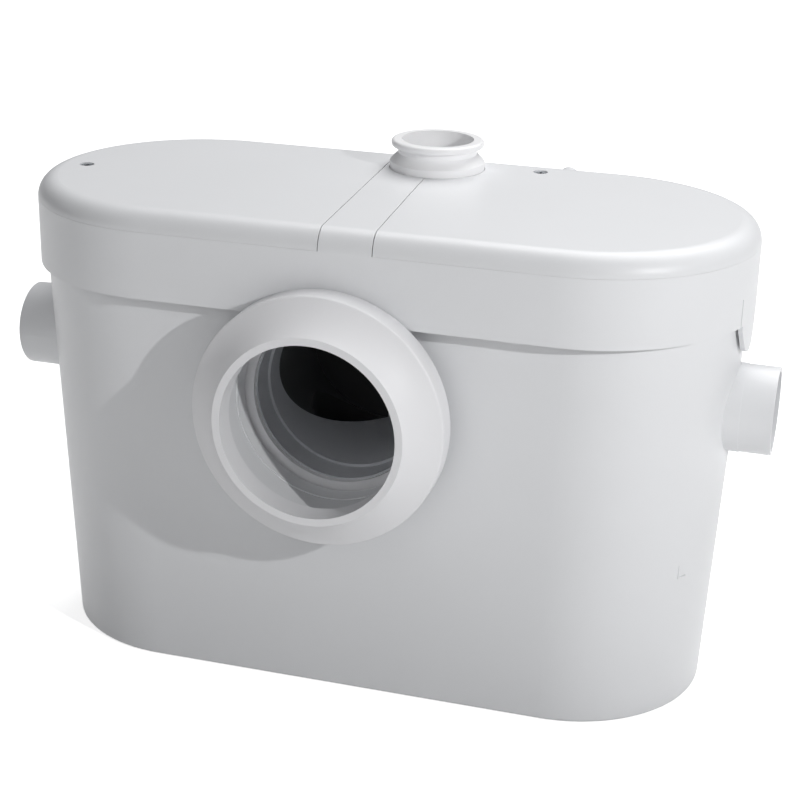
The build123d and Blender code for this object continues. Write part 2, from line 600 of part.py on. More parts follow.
with BuildPart() as discharge_stub:
    with BuildSketch(stub_section):
        with BuildLine():
            Polyline(
                (PIPE_RADIUS - PIPE_WALL, RIM_TOP - TAIL_LENGTH),
                (PIPE_RADIUS, RIM_TOP - TAIL_LENGTH),
                (PIPE_RADIUS, RIM_TOP),
                (STUB_COLLAR_RADIUS, RIM_TOP),
                (STUB_COLLAR_RADIUS, collar_top),
                (STUB_NECK_RADIUS, collar_top + STUB_SHOULDER_HEIGHT),
                (STUB_NECK_RADIUS, STUB_TOP - STUB_LIP_HEIGHT),
                (STUB_LIP_RADIUS, STUB_TOP - STUB_LIP_HEIGHT),
                (STUB_LIP_RADIUS, STUB_TOP),
                (STUB_BORE, STUB_TOP),
                (STUB_BORE, STUB_TOP - SOCKET_DEPTH),
                (CHAMBER_RADIUS, STUB_TOP - SOCKET_DEPTH),
                (CHAMBER_RADIUS, valve_floor),
                (PIPE_RADIUS - PIPE_WALL, valve_floor),
                close=True,
            )
        make_face()
    revolve(axis=Axis((STUB_X, STUB_Y, 0), (0, 0, 1)))
    lip_edges = discharge_stub.edges().filter_by(GeomType.CIRCLE)
    lip_edges = lip_edges.filter_by(lambda edge: abs(edge.radius - STUB_LIP_RADIUS) < RUNNING_FIT)
    fillet(lip_edges, STUB_LIP_ROUND)
    tube(stub_axis, RIM_TOP, RIM_TOP + CORE_HEIGHT, CORE_OUTER, CORE_INNER, Mode.SUBTRACT)
    for sign in (-1, 1):
        lug_x = STUB_X + sign * LUG_PLACE
        block(lug_x, STUB_Y + DISCHARGE_HINGE, valve_floor, valve_floor + LUG_HEIGHT, LUG_WIDTH, 2 * knuckle_radius)
    hinge_axis = Plane(origin=(STUB_X, STUB_Y + DISCHARGE_HINGE, hinge_height), x_dir=(0, 1, 0), z_dir=(1, 0, 0))
    pin_half = LUG_PLACE + LUG_WIDTH / 2
    tube(hinge_axis, -pin_half, pin_half, FLAP_PIN_RADIUS, mode=Mode.SUBTRACT)

with BuildPart() as discharge_flap_pin:
    tube(hinge_axis, -pin_half, pin_half, FLAP_PIN_RADIUS - RUNNING_FIT)

FLAP_SIDE_GAP = 0.4
knuckle_half = LUG_PLACE - LUG_WIDTH / 2 - FLAP_SIDE_GAP
with BuildPart() as discharge_flap:
    tube(stub_axis, valve_floor + FIT, valve_floor + FIT + FLAP_THICKNESS, DISCHARGE_FLAP_RADIUS)
    block(
        STUB_X,
        STUB_Y + DISCHARGE_HINGE / 2,
        valve_floor + FIT,
        valve_floor + FIT + FLAP_THICKNESS,
        knuckle_half,
        DISCHARGE_HINGE,
    )
    tube(hinge_axis, -knuckle_half, knuckle_half, knuckle_radius)
    tube(hinge_axis, -knuckle_half, knuckle_half, FLAP_PIN_RADIUS, mode=Mode.SUBTRACT)

# Side inlet valves: a seat plugged into each side inlet, its pin and its flap
SEAT_STANDOFF = 9.3
SEAT_FLANGE = 3.0
SEAT_FLANGE_RADIUS = 27.0
SEAT_BORE = 17.0
SEAT_DEPTH = 22.0
SEAT_GAP = 0.2
FLAP_RADIUS = 20.0
HINGE_RISE = 24.0
HINGE_OFFSET = 3.5
SIDE_PIN_RADIUS = 1.5
SIDE_KNUCKLE_RADIUS = 3.0
EAR_WIDTH = 3.0
EAR_PLACE = 9.5
EAR_HEIGHT = 8.0
EAR_REACH = 6.5
seat_face = side_inner_end - SEAT_STANDOFF
side_pin_half = EAR_PLACE + EAR_WIDTH / 2
side_knuckle_half = EAR_PLACE - EAR_WIDTH / 2 - FLAP_SIDE_GAP
inlet_seats = {}
inlet_flap_pins = {}
inlet_flaps = {}
for side, axis in side_axes.items():
    pin_axis = Plane(
        origin=axis.from_local_coords((0, HINGE_RISE, seat_face - HINGE_OFFSET)),
        x_dir=(0, 0, 1),
        z_dir=(0, 1, 0),
    )
    with BuildPart() as seat:
        tube(axis, seat_face, seat_face + SEAT_FLANGE, SEAT_FLANGE_RADIUS)
        tube(axis, seat_face, seat_face + SEAT_DEPTH, SIDE_RADIUS - SIDE_WALL - SEAT_GAP)
        with BuildSketch(axis.offset(seat_face - EAR_REACH)):
            with Locations((-EAR_PLACE, HINGE_RISE), (EAR_PLACE, HINGE_RISE)):
                Rectangle(EAR_WIDTH, EAR_HEIGHT)
        extrude(amount=EAR_REACH + SEAT_FLANGE / 2)
        tube(axis, seat_face, seat_face + SEAT_DEPTH, SEAT_BORE, mode=Mode.SUBTRACT)
        tube(pin_axis, -side_pin_half, side_pin_half, SIDE_PIN_RADIUS, mode=Mode.SUBTRACT)
    with BuildPart() as flap_pin:
        tube(pin_axis, -side_pin_half, side_pin_half, SIDE_PIN_RADIUS - RUNNING_FIT)
    with BuildPart() as flap:
        tube(axis, seat_face - FIT - FLAP_THICKNESS, seat_face - FIT, FLAP_RADIUS)
        with BuildSketch(axis.offset(seat_face - FIT - FLAP_THICKNESS)):
            with Locations((0, HINGE_RISE / 2)):
                Rectangle(2 * side_knuckle_half, HINGE_RISE)
        extrude(amount=FLAP_THICKNESS)
        tube(pin_axis, -side_knuckle_half, side_knuckle_half, SIDE_KNUCKLE_RADIUS)
        tube(pin_axis, -side_knuckle_half, side_knuckle_half, SIDE_PIN_RADIUS, mode=Mode.SUBTRACT)
    inlet_seats[side] = seat
    inlet_flap_pins[side] = flap_pin
    inlet_flaps[side] = flap

# Pump: rubber mounts, volute with its outlet, suction plate
MOUNT_RADIUS = 8.0
MOUNT_CIRCLE_RADIUS = 36.0
MOUNT_COUNT = 3
PUMP_WALL = 4.0
PUMP_FLOOR = 2.5
OUTLET_Y = 32.0
OUTLET_END = -51.0
EYE_RADIUS = 15.0
outlet_height = pump_bottom + PUMP_HEIGHT / 2
outlet_axis = Plane(origin=(MOTOR_X, OUTLET_Y, outlet_height), x_dir=(0, 1, 0), z_dir=(1, 0, 0))
with BuildPart() as pump_mounts:
    with BuildSketch(motor_axis.offset(TUB_WALL)):
        with PolarLocations(MOUNT_CIRCLE_RADIUS, MOUNT_COUNT):
            Circle(MOUNT_RADIUS)
    extrude(amount=PUMP_LIFT)

with BuildPart() as pump_volute:
    tube(motor_axis, pump_bottom, pump_top, PUMP_RADIUS)
    tube(outlet_axis, 0, OUTLET_END - MOTOR_X, PIPE_RADIUS)
    tube(motor_axis, pump_bottom + PUMP_FLOOR, pump_top, PUMP_RADIUS - PUMP_WALL, mode=Mode.SUBTRACT)
    tube(outlet_axis, 0, OUTLET_END - MOTOR_X, PIPE_RADIUS - PIPE_WALL, mode=Mode.SUBTRACT)

with BuildPart() as suction_plate:
    tube(motor_axis, pump_top, basket_bottom, PUMP_RADIUS, EYE_RADIUS)

# Riser pipe from the volute's outlet to the stub's tail, with a rubber cuff and two clips at each joint
PIPE_END_GAP = 1.0
RISER_BEND_X = -30.0
RISER_BEND_RADIUS = 27.0
riser_top = RIM_TOP - TAIL_LENGTH - PIPE_END_GAP
riser_start = OUTLET_END + PIPE_END_GAP
with BuildPart() as riser_pipe:
    with BuildLine():
        FilletPolyline(
            (riser_start, OUTLET_Y, outlet_height),
            (RISER_BEND_X, OUTLET_Y, outlet_height),
            (STUB_X, STUB_Y, outlet_height),
            (STUB_X, STUB_Y, riser_top),
            radius=RISER_BEND_RADIUS,
        )
    with BuildSketch(Plane(origin=(riser_start, OUTLET_Y, outlet_height), x_dir=(0, 1, 0), z_dir=(1, 0, 0))):
        Circle(PIPE_RADIUS)
        Circle(PIPE_RADIUS - PIPE_WALL, mode=Mode.SUBTRACT)
    sweep()

CUFF_GAP = 0.2
CUFF_WALL = 2.5
CUFF_HALF = 11.5
CLIP_WALL = 0.9
CLIP_GAP = 0.1
CLIP_HALF_WIDTH = 4.0
CLIP_PLACE = 6.0
CLIP_HOUSING = 7.0
CLIP_HOUSING_LENGTH = 10.0
cuff_radius = PIPE_RADIUS + CUFF_GAP + CUFF_WALL
lower_joint = Plane(origin=(OUTLET_END, OUTLET_Y, outlet_height), x_dir=(0, 0, 1), z_dir=(1, 0, 0))
upper_joint = Plane(origin=(STUB_X, STUB_Y, riser_top), x_dir=(1, 0, 0), z_dir=(0, 0, 1))
with BuildPart() as riser_cuffs:
    for joint in (lower_joint, upper_joint):
        tube(joint, -CUFF_HALF, CUFF_HALF, cuff_radius, PIPE_RADIUS + CUFF_GAP)

clip_radius = cuff_radius + CLIP_GAP + CLIP_WALL
with BuildPart() as hose_clips:
    for joint in (lower_joint, upper_joint):
        for place in (-CLIP_PLACE, CLIP_PLACE):
            tube(joint, place - CLIP_HALF_WIDTH, place + CLIP_HALF_WIDTH, clip_radius)
            with BuildSketch(joint.offset(place - CLIP_HALF_WIDTH)):
                with Locations((0, -clip_radius)):
                    Rectangle(CLIP_HOUSING_LENGTH, CLIP_HOUSING)
            extrude(amount=2 * CLIP_HALF_WIDTH)
            tube(
                joint,
                place - CLIP_HALF_WIDTH,
                place + CLIP_HALF_WIDTH,
                cuff_radius + CLIP_GAP,
                mode=Mode.SUBTRACT,
            )

# Macerator basket: a slotted pear-shaped tub, wide round the cutter and narrow under the chute
BASKET_FLOOR = 3.0
BASKET_LEG_GAP = 1.5
SLOT_WIDTH = 5.0
SLOT_MARGIN = 8.0
WIDE_SLOTS = 13
NARROW_SLOTS = 7
WIDE_SLOT_STEP = 16.0
NARROW_SLOT_STEP = 22.0
basket_narrow_radius = DROP_RADIUS + BASKET_LEG_GAP + BASKET_WALL


def pear(bottom, top, inset, mode=Mode.ADD):
    """Upright prism round the cutter's circle and the circle under the chute."""
    with BuildSketch(Plane.XY.offset(bottom)) as section:
        with Locations((MOTOR_X, 0)):
            Circle(BASKET_RADIUS - inset)
        with Locations((DROP_X, DROP_Y)):
            Circle(basket_narrow_radius - inset)
        make_hull()
    extrude(section.sketch, amount=top - bottom, mode=mode)


slot_height = BASKET_HEIGHT - 2 * SLOT_MARGIN
wide_span = WIDE_SLOT_STEP * (WIDE_SLOTS - 1)
narrow_span = NARROW_SLOT_STEP * (NARROW_SLOTS - 1)
HALF_TURN = 180.0
with BuildPart() as macerator_basket:
    pear(basket_bottom, basket_top, 0)
    pear(basket_bottom + BASKET_FLOOR, basket_top, BASKET_WALL, Mode.SUBTRACT)
    tube(motor_axis, basket_bottom, basket_top, EYE_RADIUS, mode=Mode.SUBTRACT)
    with BuildSketch(motor_axis.offset(basket_bottom + SLOT_MARGIN)):
        with PolarLocations(BASKET_RADIUS, WIDE_SLOTS, HALF_TURN - wide_span / 2, wide_span, endpoint=True):
            Rectangle(2 * SLOT_MARGIN, SLOT_WIDTH)
    extrude(amount=slot_height, mode=Mode.SUBTRACT)
    with BuildSketch(drop_axis.offset(basket_bottom + SLOT_MARGIN)):
        with PolarLocations(basket_narrow_radius, NARROW_SLOTS, -narrow_span / 2, narrow_span, endpoint=True):
            Rectangle(2 * SLOT_MARGIN, SLOT_WIDTH)
    extrude(amount=slot_height, mode=Mode.SUBTRACT)

# Turning parts: shaft, impeller, cutter blade, blade nut and rotor core
SHAFT_DIP = 4.0
IMPELLER_RADIUS = 36.0
IMPELLER_DISC = 3.0
IMPELLER_HUB_RADIUS = 10.0
IMPELLER_GAP = 3.0
VANE_COUNT = 6
VANE_THICKNESS = 3.0
VANE_LEAN = 25.0
impeller_bottom = pump_bottom + PUMP_FLOOR + IMPELLER_GAP
impeller_top = pump_top - IMPELLER_GAP
shaft_bottom = impeller_bottom - IMPELLER_GAP / 2
vane_length = IMPELLER_RADIUS - IMPELLER_HUB_RADIUS
with BuildPart() as impeller:
    tube(motor_axis, impeller_bottom, impeller_bottom + IMPELLER_DISC, IMPELLER_RADIUS)
    tube(motor_axis, impeller_bottom, impeller_top, IMPELLER_HUB_RADIUS)
    with BuildSketch(motor_axis.offset(impeller_bottom)):
        with PolarLocations(IMPELLER_HUB_RADIUS, VANE_COUNT):
            Rectangle(vane_length, VANE_THICKNESS, rotation=-VANE_LEAN, align=(Align.MIN, Align.CENTER))
    extrude(amount=impeller_top - impeller_bottom)
    tube(motor_axis, impeller_bottom, impeller_top, SHAFT_RADIUS + RUNNING_FIT, mode=Mode.SUBTRACT)

BLADE_HEIGHT = 10.0
BLADE_THICKNESS = 4.0
BLADE_RADIUS = 54.0
BLADE_WIDTH = 12.0
BLADE_HUB_RADIUS = 13.0
BLADE_TIP_WIDTH = 4.0
BLADE_ARMS = 4
blade_bottom = basket_bottom + BASKET_FLOOR + BLADE_HEIGHT
blade_top = blade_bottom + BLADE_THICKNESS
with BuildPart() as cutter_blade:
    tube(motor_axis, blade_bottom, blade_top, BLADE_HUB_RADIUS)
    with BuildSketch(motor_axis.offset(blade_bottom)):
        with PolarLocations(0, BLADE_ARMS):
            Polygon(
                (0, -BLADE_WIDTH / 2),
                (BLADE_RADIUS, BLADE_WIDTH / 2 - BLADE_TIP_WIDTH),
                (BLADE_RADIUS, BLADE_WIDTH / 2),
                (0, BLADE_WIDTH / 2),
                align=None,
            )
    extrude(amount=BLADE_THICKNESS)
    tube(motor_axis, blade_bottom, blade_top, SHAFT_RADIUS + RUNNING_FIT, mode=Mode.SUBTRACT)

NUT_SIZE = 9.0
NUT_HEIGHT = 8.0
with BuildPart() as blade_nut:
    with BuildSketch(motor_axis.offset(blade_top)):
        RegularPolygon(NUT_SIZE, 6)
        Circle(SHAFT_RADIUS + RUNNING_FIT, mode=Mode.SUBTRACT)
    extrude(amount=NUT_HEIGHT)

# Motor flange, on the basket's rim
FLANGE_HEIGHT = 8.0
FLANGE_BOSS_RADIUS = 20.0
FLANGE_BOSS_HEIGHT = 6.0
SEAL_RADIUS = 12.0
SEAL_DEPTH = 3.0
SEAL_DROP = 6.0
LOWER_BEARING_RADIUS = 16.0
BEARING_HEIGHT = 10.0
UPPER_BEARING_RADIUS = 13.0
MOTOR_SCREW_CIRCLE_RADIUS = 52.5
MOTOR_SCREW_COUNT = 4
MOTOR_SCREW_RADIUS = 2.5
MOTOR_SCREW_ANGLE = 45.0
flange_top = basket_top + FLANGE_HEIGHT
with BuildPart() as motor_flange:
    tube(motor_axis, basket_top, flange_top, BASKET_RADIUS)
    tube(motor_axis, flange_top, flange_top + FLANGE_BOSS_HEIGHT, FLANGE_BOSS_RADIUS)
    tube(motor_axis, basket_top, basket_top + SEAL_DEPTH, SEAL_RADIUS + RUNNING_FIT, mode=Mode.SUBTRACT)
    tube(
        motor_axis,
        basket_top + SEAL_DEPTH,
        flange_top + FLANGE_BOSS_HEIGHT,
        LOWER_BEARING_RADIUS + RUNNING_FIT,
        mode=Mode.SUBTRACT,
    )
    with BuildSketch(motor_axis.offset(flange_top)):
        with PolarLocations(MOTOR_SCREW_CIRCLE_RADIUS, MOTOR_SCREW_COUNT, MOTOR_SCREW_ANGLE):
            Circle(MOTOR_SCREW_RADIUS + RUNNING_FIT)
    extrude(amount=-FLANGE_HEIGHT, mode=Mode.SUBTRACT)

with BuildPart() as shaft_seal:
    tube(motor_axis, basket_top - SEAL_DROP, basket_top + SEAL_DEPTH, SEAL_RADIUS, SHAFT_RADIUS + RUNNING_FIT)

lower_bearing_bottom = basket_top + SEAL_DEPTH
with BuildPart() as lower_bearing:
    tube(
        motor_axis,
        lower_bearing_bottom,
        lower_bearing_bottom + BEARING_HEIGHT,
        LOWER_BEARING_RADIUS,
        SHAFT_RADIUS + RUNNING_FIT,
    )

# Motor housing: a can with a foot flange and a bearing boss under its closed top
FOOT_FLANGE_RADIUS = 58.0
FOOT_FLANGE_HEIGHT = 4.0
BOSS_DEPTH = 13.0
BOSS_WALL = 3.0
housing_top = flange_top + MOTOR_HEIGHT
housing_ceiling = housing_top - MOTOR_WALL
LEAD_Y = 35.0
LEAD_DROP = 14.0
LEAD_RADIUS = 3.5
LEAD_GLAND_RADIUS = 5.0
LEAD_GLAND_STANDOFF = 3.0
lead_axis = Plane(origin=(0, LEAD_Y, box_top - LEAD_DROP), x_dir=(0, 1, 0), z_dir=(1, 0, 0))
MOTOR_EDGE_RADIUS = 6.0
with BuildPart() as motor_housing:
    tube(motor_axis, flange_top, housing_top, MOTOR_RADIUS)
    fillet(motor_housing.faces().sort_by(Axis.Z)[-1].edges(), MOTOR_EDGE_RADIUS)
    tube(motor_axis, flange_top, flange_top + FOOT_FLANGE_HEIGHT, FOOT_FLANGE_RADIUS)
    tube(motor_axis, flange_top, housing_ceiling, MOTOR_RADIUS - MOTOR_WALL, mode=Mode.SUBTRACT)
    tube(motor_axis, housing_ceiling - BOSS_DEPTH, housing_ceiling, UPPER_BEARING_RADIUS + BOSS_WALL)
    tube(
        motor_axis,
        housing_ceiling - BOSS_DEPTH,
        housing_ceiling,
        UPPER_BEARING_RADIUS + RUNNING_FIT,
        mode=Mode.SUBTRACT,
    )
    with BuildSketch(motor_axis.offset(flange_top)):
        with PolarLocations(MOTOR_SCREW_CIRCLE_RADIUS, MOTOR_SCREW_COUNT, MOTOR_SCREW_ANGLE):
            Circle(MOTOR_SCREW_RADIUS + RUNNING_FIT)
    extrude(amount=FOOT_FLANGE_HEIGHT, mode=Mode.SUBTRACT)
    tube(lead_axis, MOTOR_X, 0, LEAD_GLAND_RADIUS + RUNNING_FIT, mode=Mode.SUBTRACT)

MOTOR_SCREW_HEAD_RADIUS = 4.5
MOTOR_SCREW_HEAD_HEIGHT = 3.5
MOTOR_SCREW_DEPTH = 7.0
screw_seat = flange_top + FOOT_FLANGE_HEIGHT
with BuildPart() as motor_screws:
    with BuildSketch(motor_axis.offset(screw_seat)):
        with PolarLocations(MOTOR_SCREW_CIRCLE_RADIUS, MOTOR_SCREW_COUNT, MOTOR_SCREW_ANGLE):
            Circle(MOTOR_SCREW_HEAD_RADIUS)
    extrude(amount=MOTOR_SCREW_HEAD_HEIGHT)
    with BuildSketch(motor_axis.offset(flange_top - MOTOR_SCREW_DEPTH)):
        with PolarLocations(MOTOR_SCREW_CIRCLE_RADIUS, MOTOR_SCREW_COUNT, MOTOR_SCREW_ANGLE):
            Circle(MOTOR_SCREW_RADIUS)
    extrude(amount=MOTOR_SCREW_DEPTH + FOOT_FLANGE_HEIGHT)

upper_bearing_top = housing_ceiling - BOSS_WALL
with BuildPart() as upper_bearing:
    tube(
        motor_axis,
        upper_bearing_top - BEARING_HEIGHT,
        upper_bearing_top,
        UPPER_BEARING_RADIUS,
        SHAFT_RADIUS + RUNNING_FIT,
    )

# Stator, windings and rotor core
STACK_BOTTOM = 142.0
STACK_HEIGHT = 56.0
STATOR_BORE = 26.0
STATOR_GAP = 0.2
STATOR_SLOTS = 18
STATOR_SLOT_WIDTH = 4.5
STATOR_SLOT_INNER = 29.0
STATOR_SLOT_OUTER = 38.0
WINDING_HEIGHT = 14.0
WINDING_OUTER = 41.0
AIR_GAP = 0.5
stack_top = STACK_BOTTOM + STACK_HEIGHT
slot_middle = (STATOR_SLOT_INNER + STATOR_SLOT_OUTER) / 2
slot_length = STATOR_SLOT_OUTER - STATOR_SLOT_INNER
with BuildPart() as stator:
    tube(motor_axis, STACK_BOTTOM, stack_top, MOTOR_RADIUS - MOTOR_WALL - STATOR_GAP, STATOR_BORE)
    with BuildSketch(motor_axis.offset(STACK_BOTTOM)):
        with PolarLocations(slot_middle, STATOR_SLOTS):
            Rectangle(slot_length, STATOR_SLOT_WIDTH)
    extrude(amount=STACK_HEIGHT, mode=Mode.SUBTRACT)

with BuildPart() as windings:
    tube(motor_axis, STACK_BOTTOM - WINDING_HEIGHT, STACK_BOTTOM, WINDING_OUTER, STATOR_SLOT_INNER)
    tube(motor_axis, stack_top, stack_top + WINDING_HEIGHT, WINDING_OUTER, STATOR_SLOT_INNER)
    with BuildSketch(motor_axis.offset(STACK_BOTTOM)):
        with PolarLocations(slot_middle, STATOR_SLOTS):
            Rectangle(slot_length - 2 * STATOR_GAP, STATOR_SLOT_WIDTH - 2 * STATOR_GAP)
    extrude(amount=STACK_HEIGHT)

END_RING_HEIGHT = 5.0
END_RING_INNER = 15.0
with BuildPart() as rotor_core:
    tube(
        motor_axis,
        STACK_BOTTOM - END_RING_HEIGHT,
        stack_top + END_RING_HEIGHT,
        STATOR_BORE - AIR_GAP,
        SHAFT_RADIUS + RUNNING_FIT,
    )
    for end in (STACK_BOTTOM - END_RING_HEIGHT, stack_top):
        tube(motor_axis, end, end + END_RING_HEIGHT, END_RING_INNER, mode=Mode.SUBTRACT)

SHAFT_TOP_GAP = 1.0
with BuildPart() as shaft:
    tube(motor_axis, shaft_bottom, housing_ceiling - SHAFT_TOP_GAP, SHAFT_RADIUS)

# Air bell: an upright tube, open at its notched foot, that traps air under the membrane
BELL_FLANGE_RADIUS = 38.0
BELL_FLANGE_HEIGHT = 4.0
MEMBRANE_RADIUS = 27.0
BELL_NOTCH_WIDTH = 16.0
BELL_NOTCH_HEIGHT = 18.0
BOX_SCREW_CIRCLE_RADIUS = 33.0
BOX_SCREW_COUNT = 4
BOX_SCREW_RADIUS = 2.0
BOX_SCREW_ANGLE = 30.0
with BuildPart() as air_bell:
    tube(bell_axis, TUB_WALL, BELL_TOP, BELL_RADIUS)
    tube(bell_axis, BELL_TOP - BELL_FLANGE_HEIGHT, box_bottom, BELL_FLANGE_RADIUS)
    tube(bell_axis, BELL_TOP, box_bottom, MEMBRANE_RADIUS + FIT, mode=Mode.SUBTRACT)
    tube(bell_axis, TUB_WALL, BELL_TOP, BELL_RADIUS - BELL_WALL, mode=Mode.SUBTRACT)
    block(BELL_X, 0, TUB_WALL, TUB_WALL + BELL_NOTCH_HEIGHT, 3 * BELL_RADIUS, BELL_NOTCH_WIDTH, Mode.SUBTRACT)
    block(BELL_X, 0, TUB_WALL, TUB_WALL + BELL_NOTCH_HEIGHT, BELL_NOTCH_WIDTH, 3 * BELL_RADIUS, Mode.SUBTRACT)
    with BuildSketch(bell_axis.offset(box_bottom)):
        with PolarLocations(BOX_SCREW_CIRCLE_RADIUS, BOX_SCREW_COUNT, BOX_SCREW_ANGLE):
            Circle(BOX_SCREW_RADIUS + RUNNING_FIT)
    extrude(amount=-BELL_FLANGE_HEIGHT, mode=Mode.SUBTRACT)

with BuildPart() as membrane:
    tube(bell_axis, BELL_TOP, box_bottom, MEMBRANE_RADIUS)

# Control box on the bell's flange
BOX_CORNER = 8.0
PLUNGER_RADIUS = 12.0
PLUNGER_STEM_RADIUS = 3.0
PLUNGER_STEM_TOP = 205.0
PLUNGER_NIB_RADIUS = 1.2
PLUNGER_NIB_HEIGHT = 3.0
PLUNGER_HOLE_GAP = 1.0
CRADLE_WIDTH = 3.0
CRADLE_PLACE = 22.5
CRADLE_HEIGHT = 12.0
CAPACITOR_RADIUS = 15.0
CAPACITOR_LENGTH = 58.0
CAPACITOR_Y = -22.5
CAPACITOR_LIFT = 4.0
capacitor_height = box_bottom + BOX_WALL + CAPACITOR_LIFT + CAPACITOR_RADIUS
with BuildPart() as control_box:
    with BuildSketch(bell_axis.offset(box_bottom)):
        RectangleRounded(box_length, BOX_WIDTH, BOX_CORNER)
    extrude(amount=BOX_HEIGHT)
    with BuildSketch(bell_axis.offset(box_bottom + BOX_WALL)):
        RectangleRounded(box_length - 2 * BOX_WALL, BOX_WIDTH - 2 * BOX_WALL, BOX_CORNER - BOX_WALL)
    extrude(amount=BOX_HEIGHT, mode=Mode.SUBTRACT)
    for sign in (-1, 1):
        cradle_x = BELL_X + sign * CRADLE_PLACE
        block(
            cradle_x,
            CAPACITOR_Y,
            box_bottom,
            box_bottom + BOX_WALL + CRADLE_HEIGHT,
            CRADLE_WIDTH,
            2 * CAPACITOR_RADIUS,
        )
    capacitor_axis = Plane(
        origin=(BELL_X - CAPACITOR_LENGTH / 2, CAPACITOR_Y, capacitor_height), x_dir=(0, 1, 0), z_dir=(1, 0, 0)
    )
    tube(capacitor_axis, -FIT, CAPACITOR_LENGTH + FIT, CAPACITOR_RADIUS + FIT, mode=Mode.SUBTRACT)
    tube(bell_axis, box_bottom, box_bottom + BOX_WALL, PLUNGER_RADIUS + PLUNGER_HOLE_GAP, mode=Mode.SUBTRACT)
    with BuildSketch(bell_axis.offset(box_bottom)):
        with PolarLocations(BOX_SCREW_CIRCLE_RADIUS, BOX_SCREW_COUNT, BOX_SCREW_ANGLE):
            Circle(BOX_SCREW_RADIUS + RUNNING_FIT)
    extrude(amount=BOX_WALL, mode=Mode.SUBTRACT)
    tube(lead_axis, 0, BELL_X, LEAD_GLAND_RADIUS + RUNNING_FIT, mode=Mode.SUBTRACT)

BOX_COVER_THICKNESS = 2.5
BOX_LIP_DEPTH = 4.0
BOX_LIP_WALL = 2.0
with BuildPart() as control_box_cover:
    with BuildSketch(bell_axis.offset(box_top)):
        RectangleRounded(box_length, BOX_WIDTH, BOX_CORNER)
    extrude(amount=BOX_COVER_THICKNESS)
    lip_length = box_length - 2 * (BOX_WALL + FIT)
    lip_width = BOX_WIDTH - 2 * (BOX_WALL + FIT)
    with BuildSketch(bell_axis.offset(box_top)):
        RectangleRounded(lip_length, lip_width, BOX_CORNER - BOX_WALL)
        RectangleRounded(lip_length - 2 * BOX_LIP_WALL, lip_width - 2 * BOX_LIP_WALL, BOX_LIP_WALL, mode=Mode.SUBTRACT)
    extrude(amount=-BOX_LIP_DEPTH)

BOX_SCREW_HEAD_RADIUS = 3.4
BOX_SCREW_HEAD_HEIGHT = 2.4
with BuildPart() as control_box_screws:
    with BuildSketch(bell_axis.offset(box_bottom + BOX_WALL)):
        with PolarLocations(BOX_SCREW_CIRCLE_RADIUS, BOX_SCREW_COUNT, BOX_SCREW_ANGLE):
            Circle(BOX_SCREW_HEAD_RADIUS)
    extrude(amount=BOX_SCREW_HEAD_HEIGHT)
    with BuildSketch(bell_axis.offset(box_bottom - BELL_FLANGE_HEIGHT)):
        with PolarLocations(BOX_SCREW_CIRCLE_RADIUS, BOX_SCREW_COUNT, BOX_SCREW_ANGLE):
            Circle(BOX_SCREW_RADIUS)
    extrude(amount=BELL_FLANGE_HEIGHT + BOX_WALL)

CAN_EDGE = 1.5
with BuildPart() as capacitor:
    tube(capacitor_axis, 0, CAPACITOR_LENGTH, CAPACITOR_RADIUS)
    fillet(capacitor.edges().filter_by(GeomType.CIRCLE), CAN_EDGE)

TERMINAL_LENGTH = 36.0
TERMINAL_WIDTH = 16.0
TERMINAL_HEIGHT = 18.0
TERMINAL_GAP = 5.5
TERMINAL_WAYS = 4
TERMINAL_HOLE_RADIUS = 2.0
TERMINAL_HOLE_DEPTH = 8.0
terminal_x = BELL_X + box_length / 2 - BOX_WALL - TERMINAL_GAP - TERMINAL_LENGTH / 2
terminal_y = BOX_WIDTH / 2 - BOX_WALL - FIT - TERMINAL_WIDTH / 2
with BuildPart() as terminal_block:
    block(
        terminal_x,
        terminal_y,
        box_bottom + BOX_WALL,
        box_bottom + BOX_WALL + TERMINAL_HEIGHT,
        TERMINAL_LENGTH,
        TERMINAL_WIDTH,
    )
    with BuildSketch(Plane.XY.offset(box_bottom + BOX_WALL + TERMINAL_HEIGHT)):
        with Locations((terminal_x, terminal_y)):
            with GridLocations(TERMINAL_LENGTH / TERMINAL_WAYS, TERMINAL_WIDTH / 2, TERMINAL_WAYS, 2):
                Circle(TERMINAL_HOLE_RADIUS)
    extrude(amount=-TERMINAL_HOLE_DEPTH, mode=Mode.SUBTRACT)

# Level switch: plunger on the membrane, lever, button, microswitch and bracket
with BuildPart() as switch_plunger:
    tube(bell_axis, box_bottom + FIT, box_bottom + BOX_WALL + FIT, PLUNGER_RADIUS)
    tube(bell_axis, box_bottom + FIT, PLUNGER_STEM_TOP - PLUNGER_NIB_HEIGHT, PLUNGER_STEM_RADIUS)
    tube(bell_axis, box_bottom + FIT, PLUNGER_STEM_TOP, PLUNGER_NIB_RADIUS)

LEVER_ARM = 16.0
LEVER_TAIL = 9.0
LEVER_THICKNESS = 1.0
LEVER_WIDTH = 6.0
LEVER_KNUCKLE_RADIUS = 1.7
LEVER_PIN_RADIUS = 0.9
LEVER_GAP = 0.5
SWITCH_BOTTOM = 211.0
SWITCH_LENGTH = 28.0
SWITCH_HEIGHT = 16.0
SWITCH_WIDTH = 10.0
SWITCH_LUG = 1.5
lever_bottom = PLUNGER_STEM_TOP + LEVER_GAP
lever_x = BELL_X - LEVER_ARM
lever_height = lever_bottom + LEVER_KNUCKLE_RADIUS
switch_x = lever_x + SWITCH_LENGTH / 2 - 2 * LEVER_KNUCKLE_RADIUS
button_x = BELL_X - LEVER_ARM / 2
BUTTON_RADIUS = 1.3
lever_axis = Plane(origin=(lever_x, 0, lever_height), x_dir=(1, 0, 0), z_dir=(0, 1, 0))
lug_outer = SWITCH_WIDTH / 2
lug_middle = lug_outer - SWITCH_LUG / 2
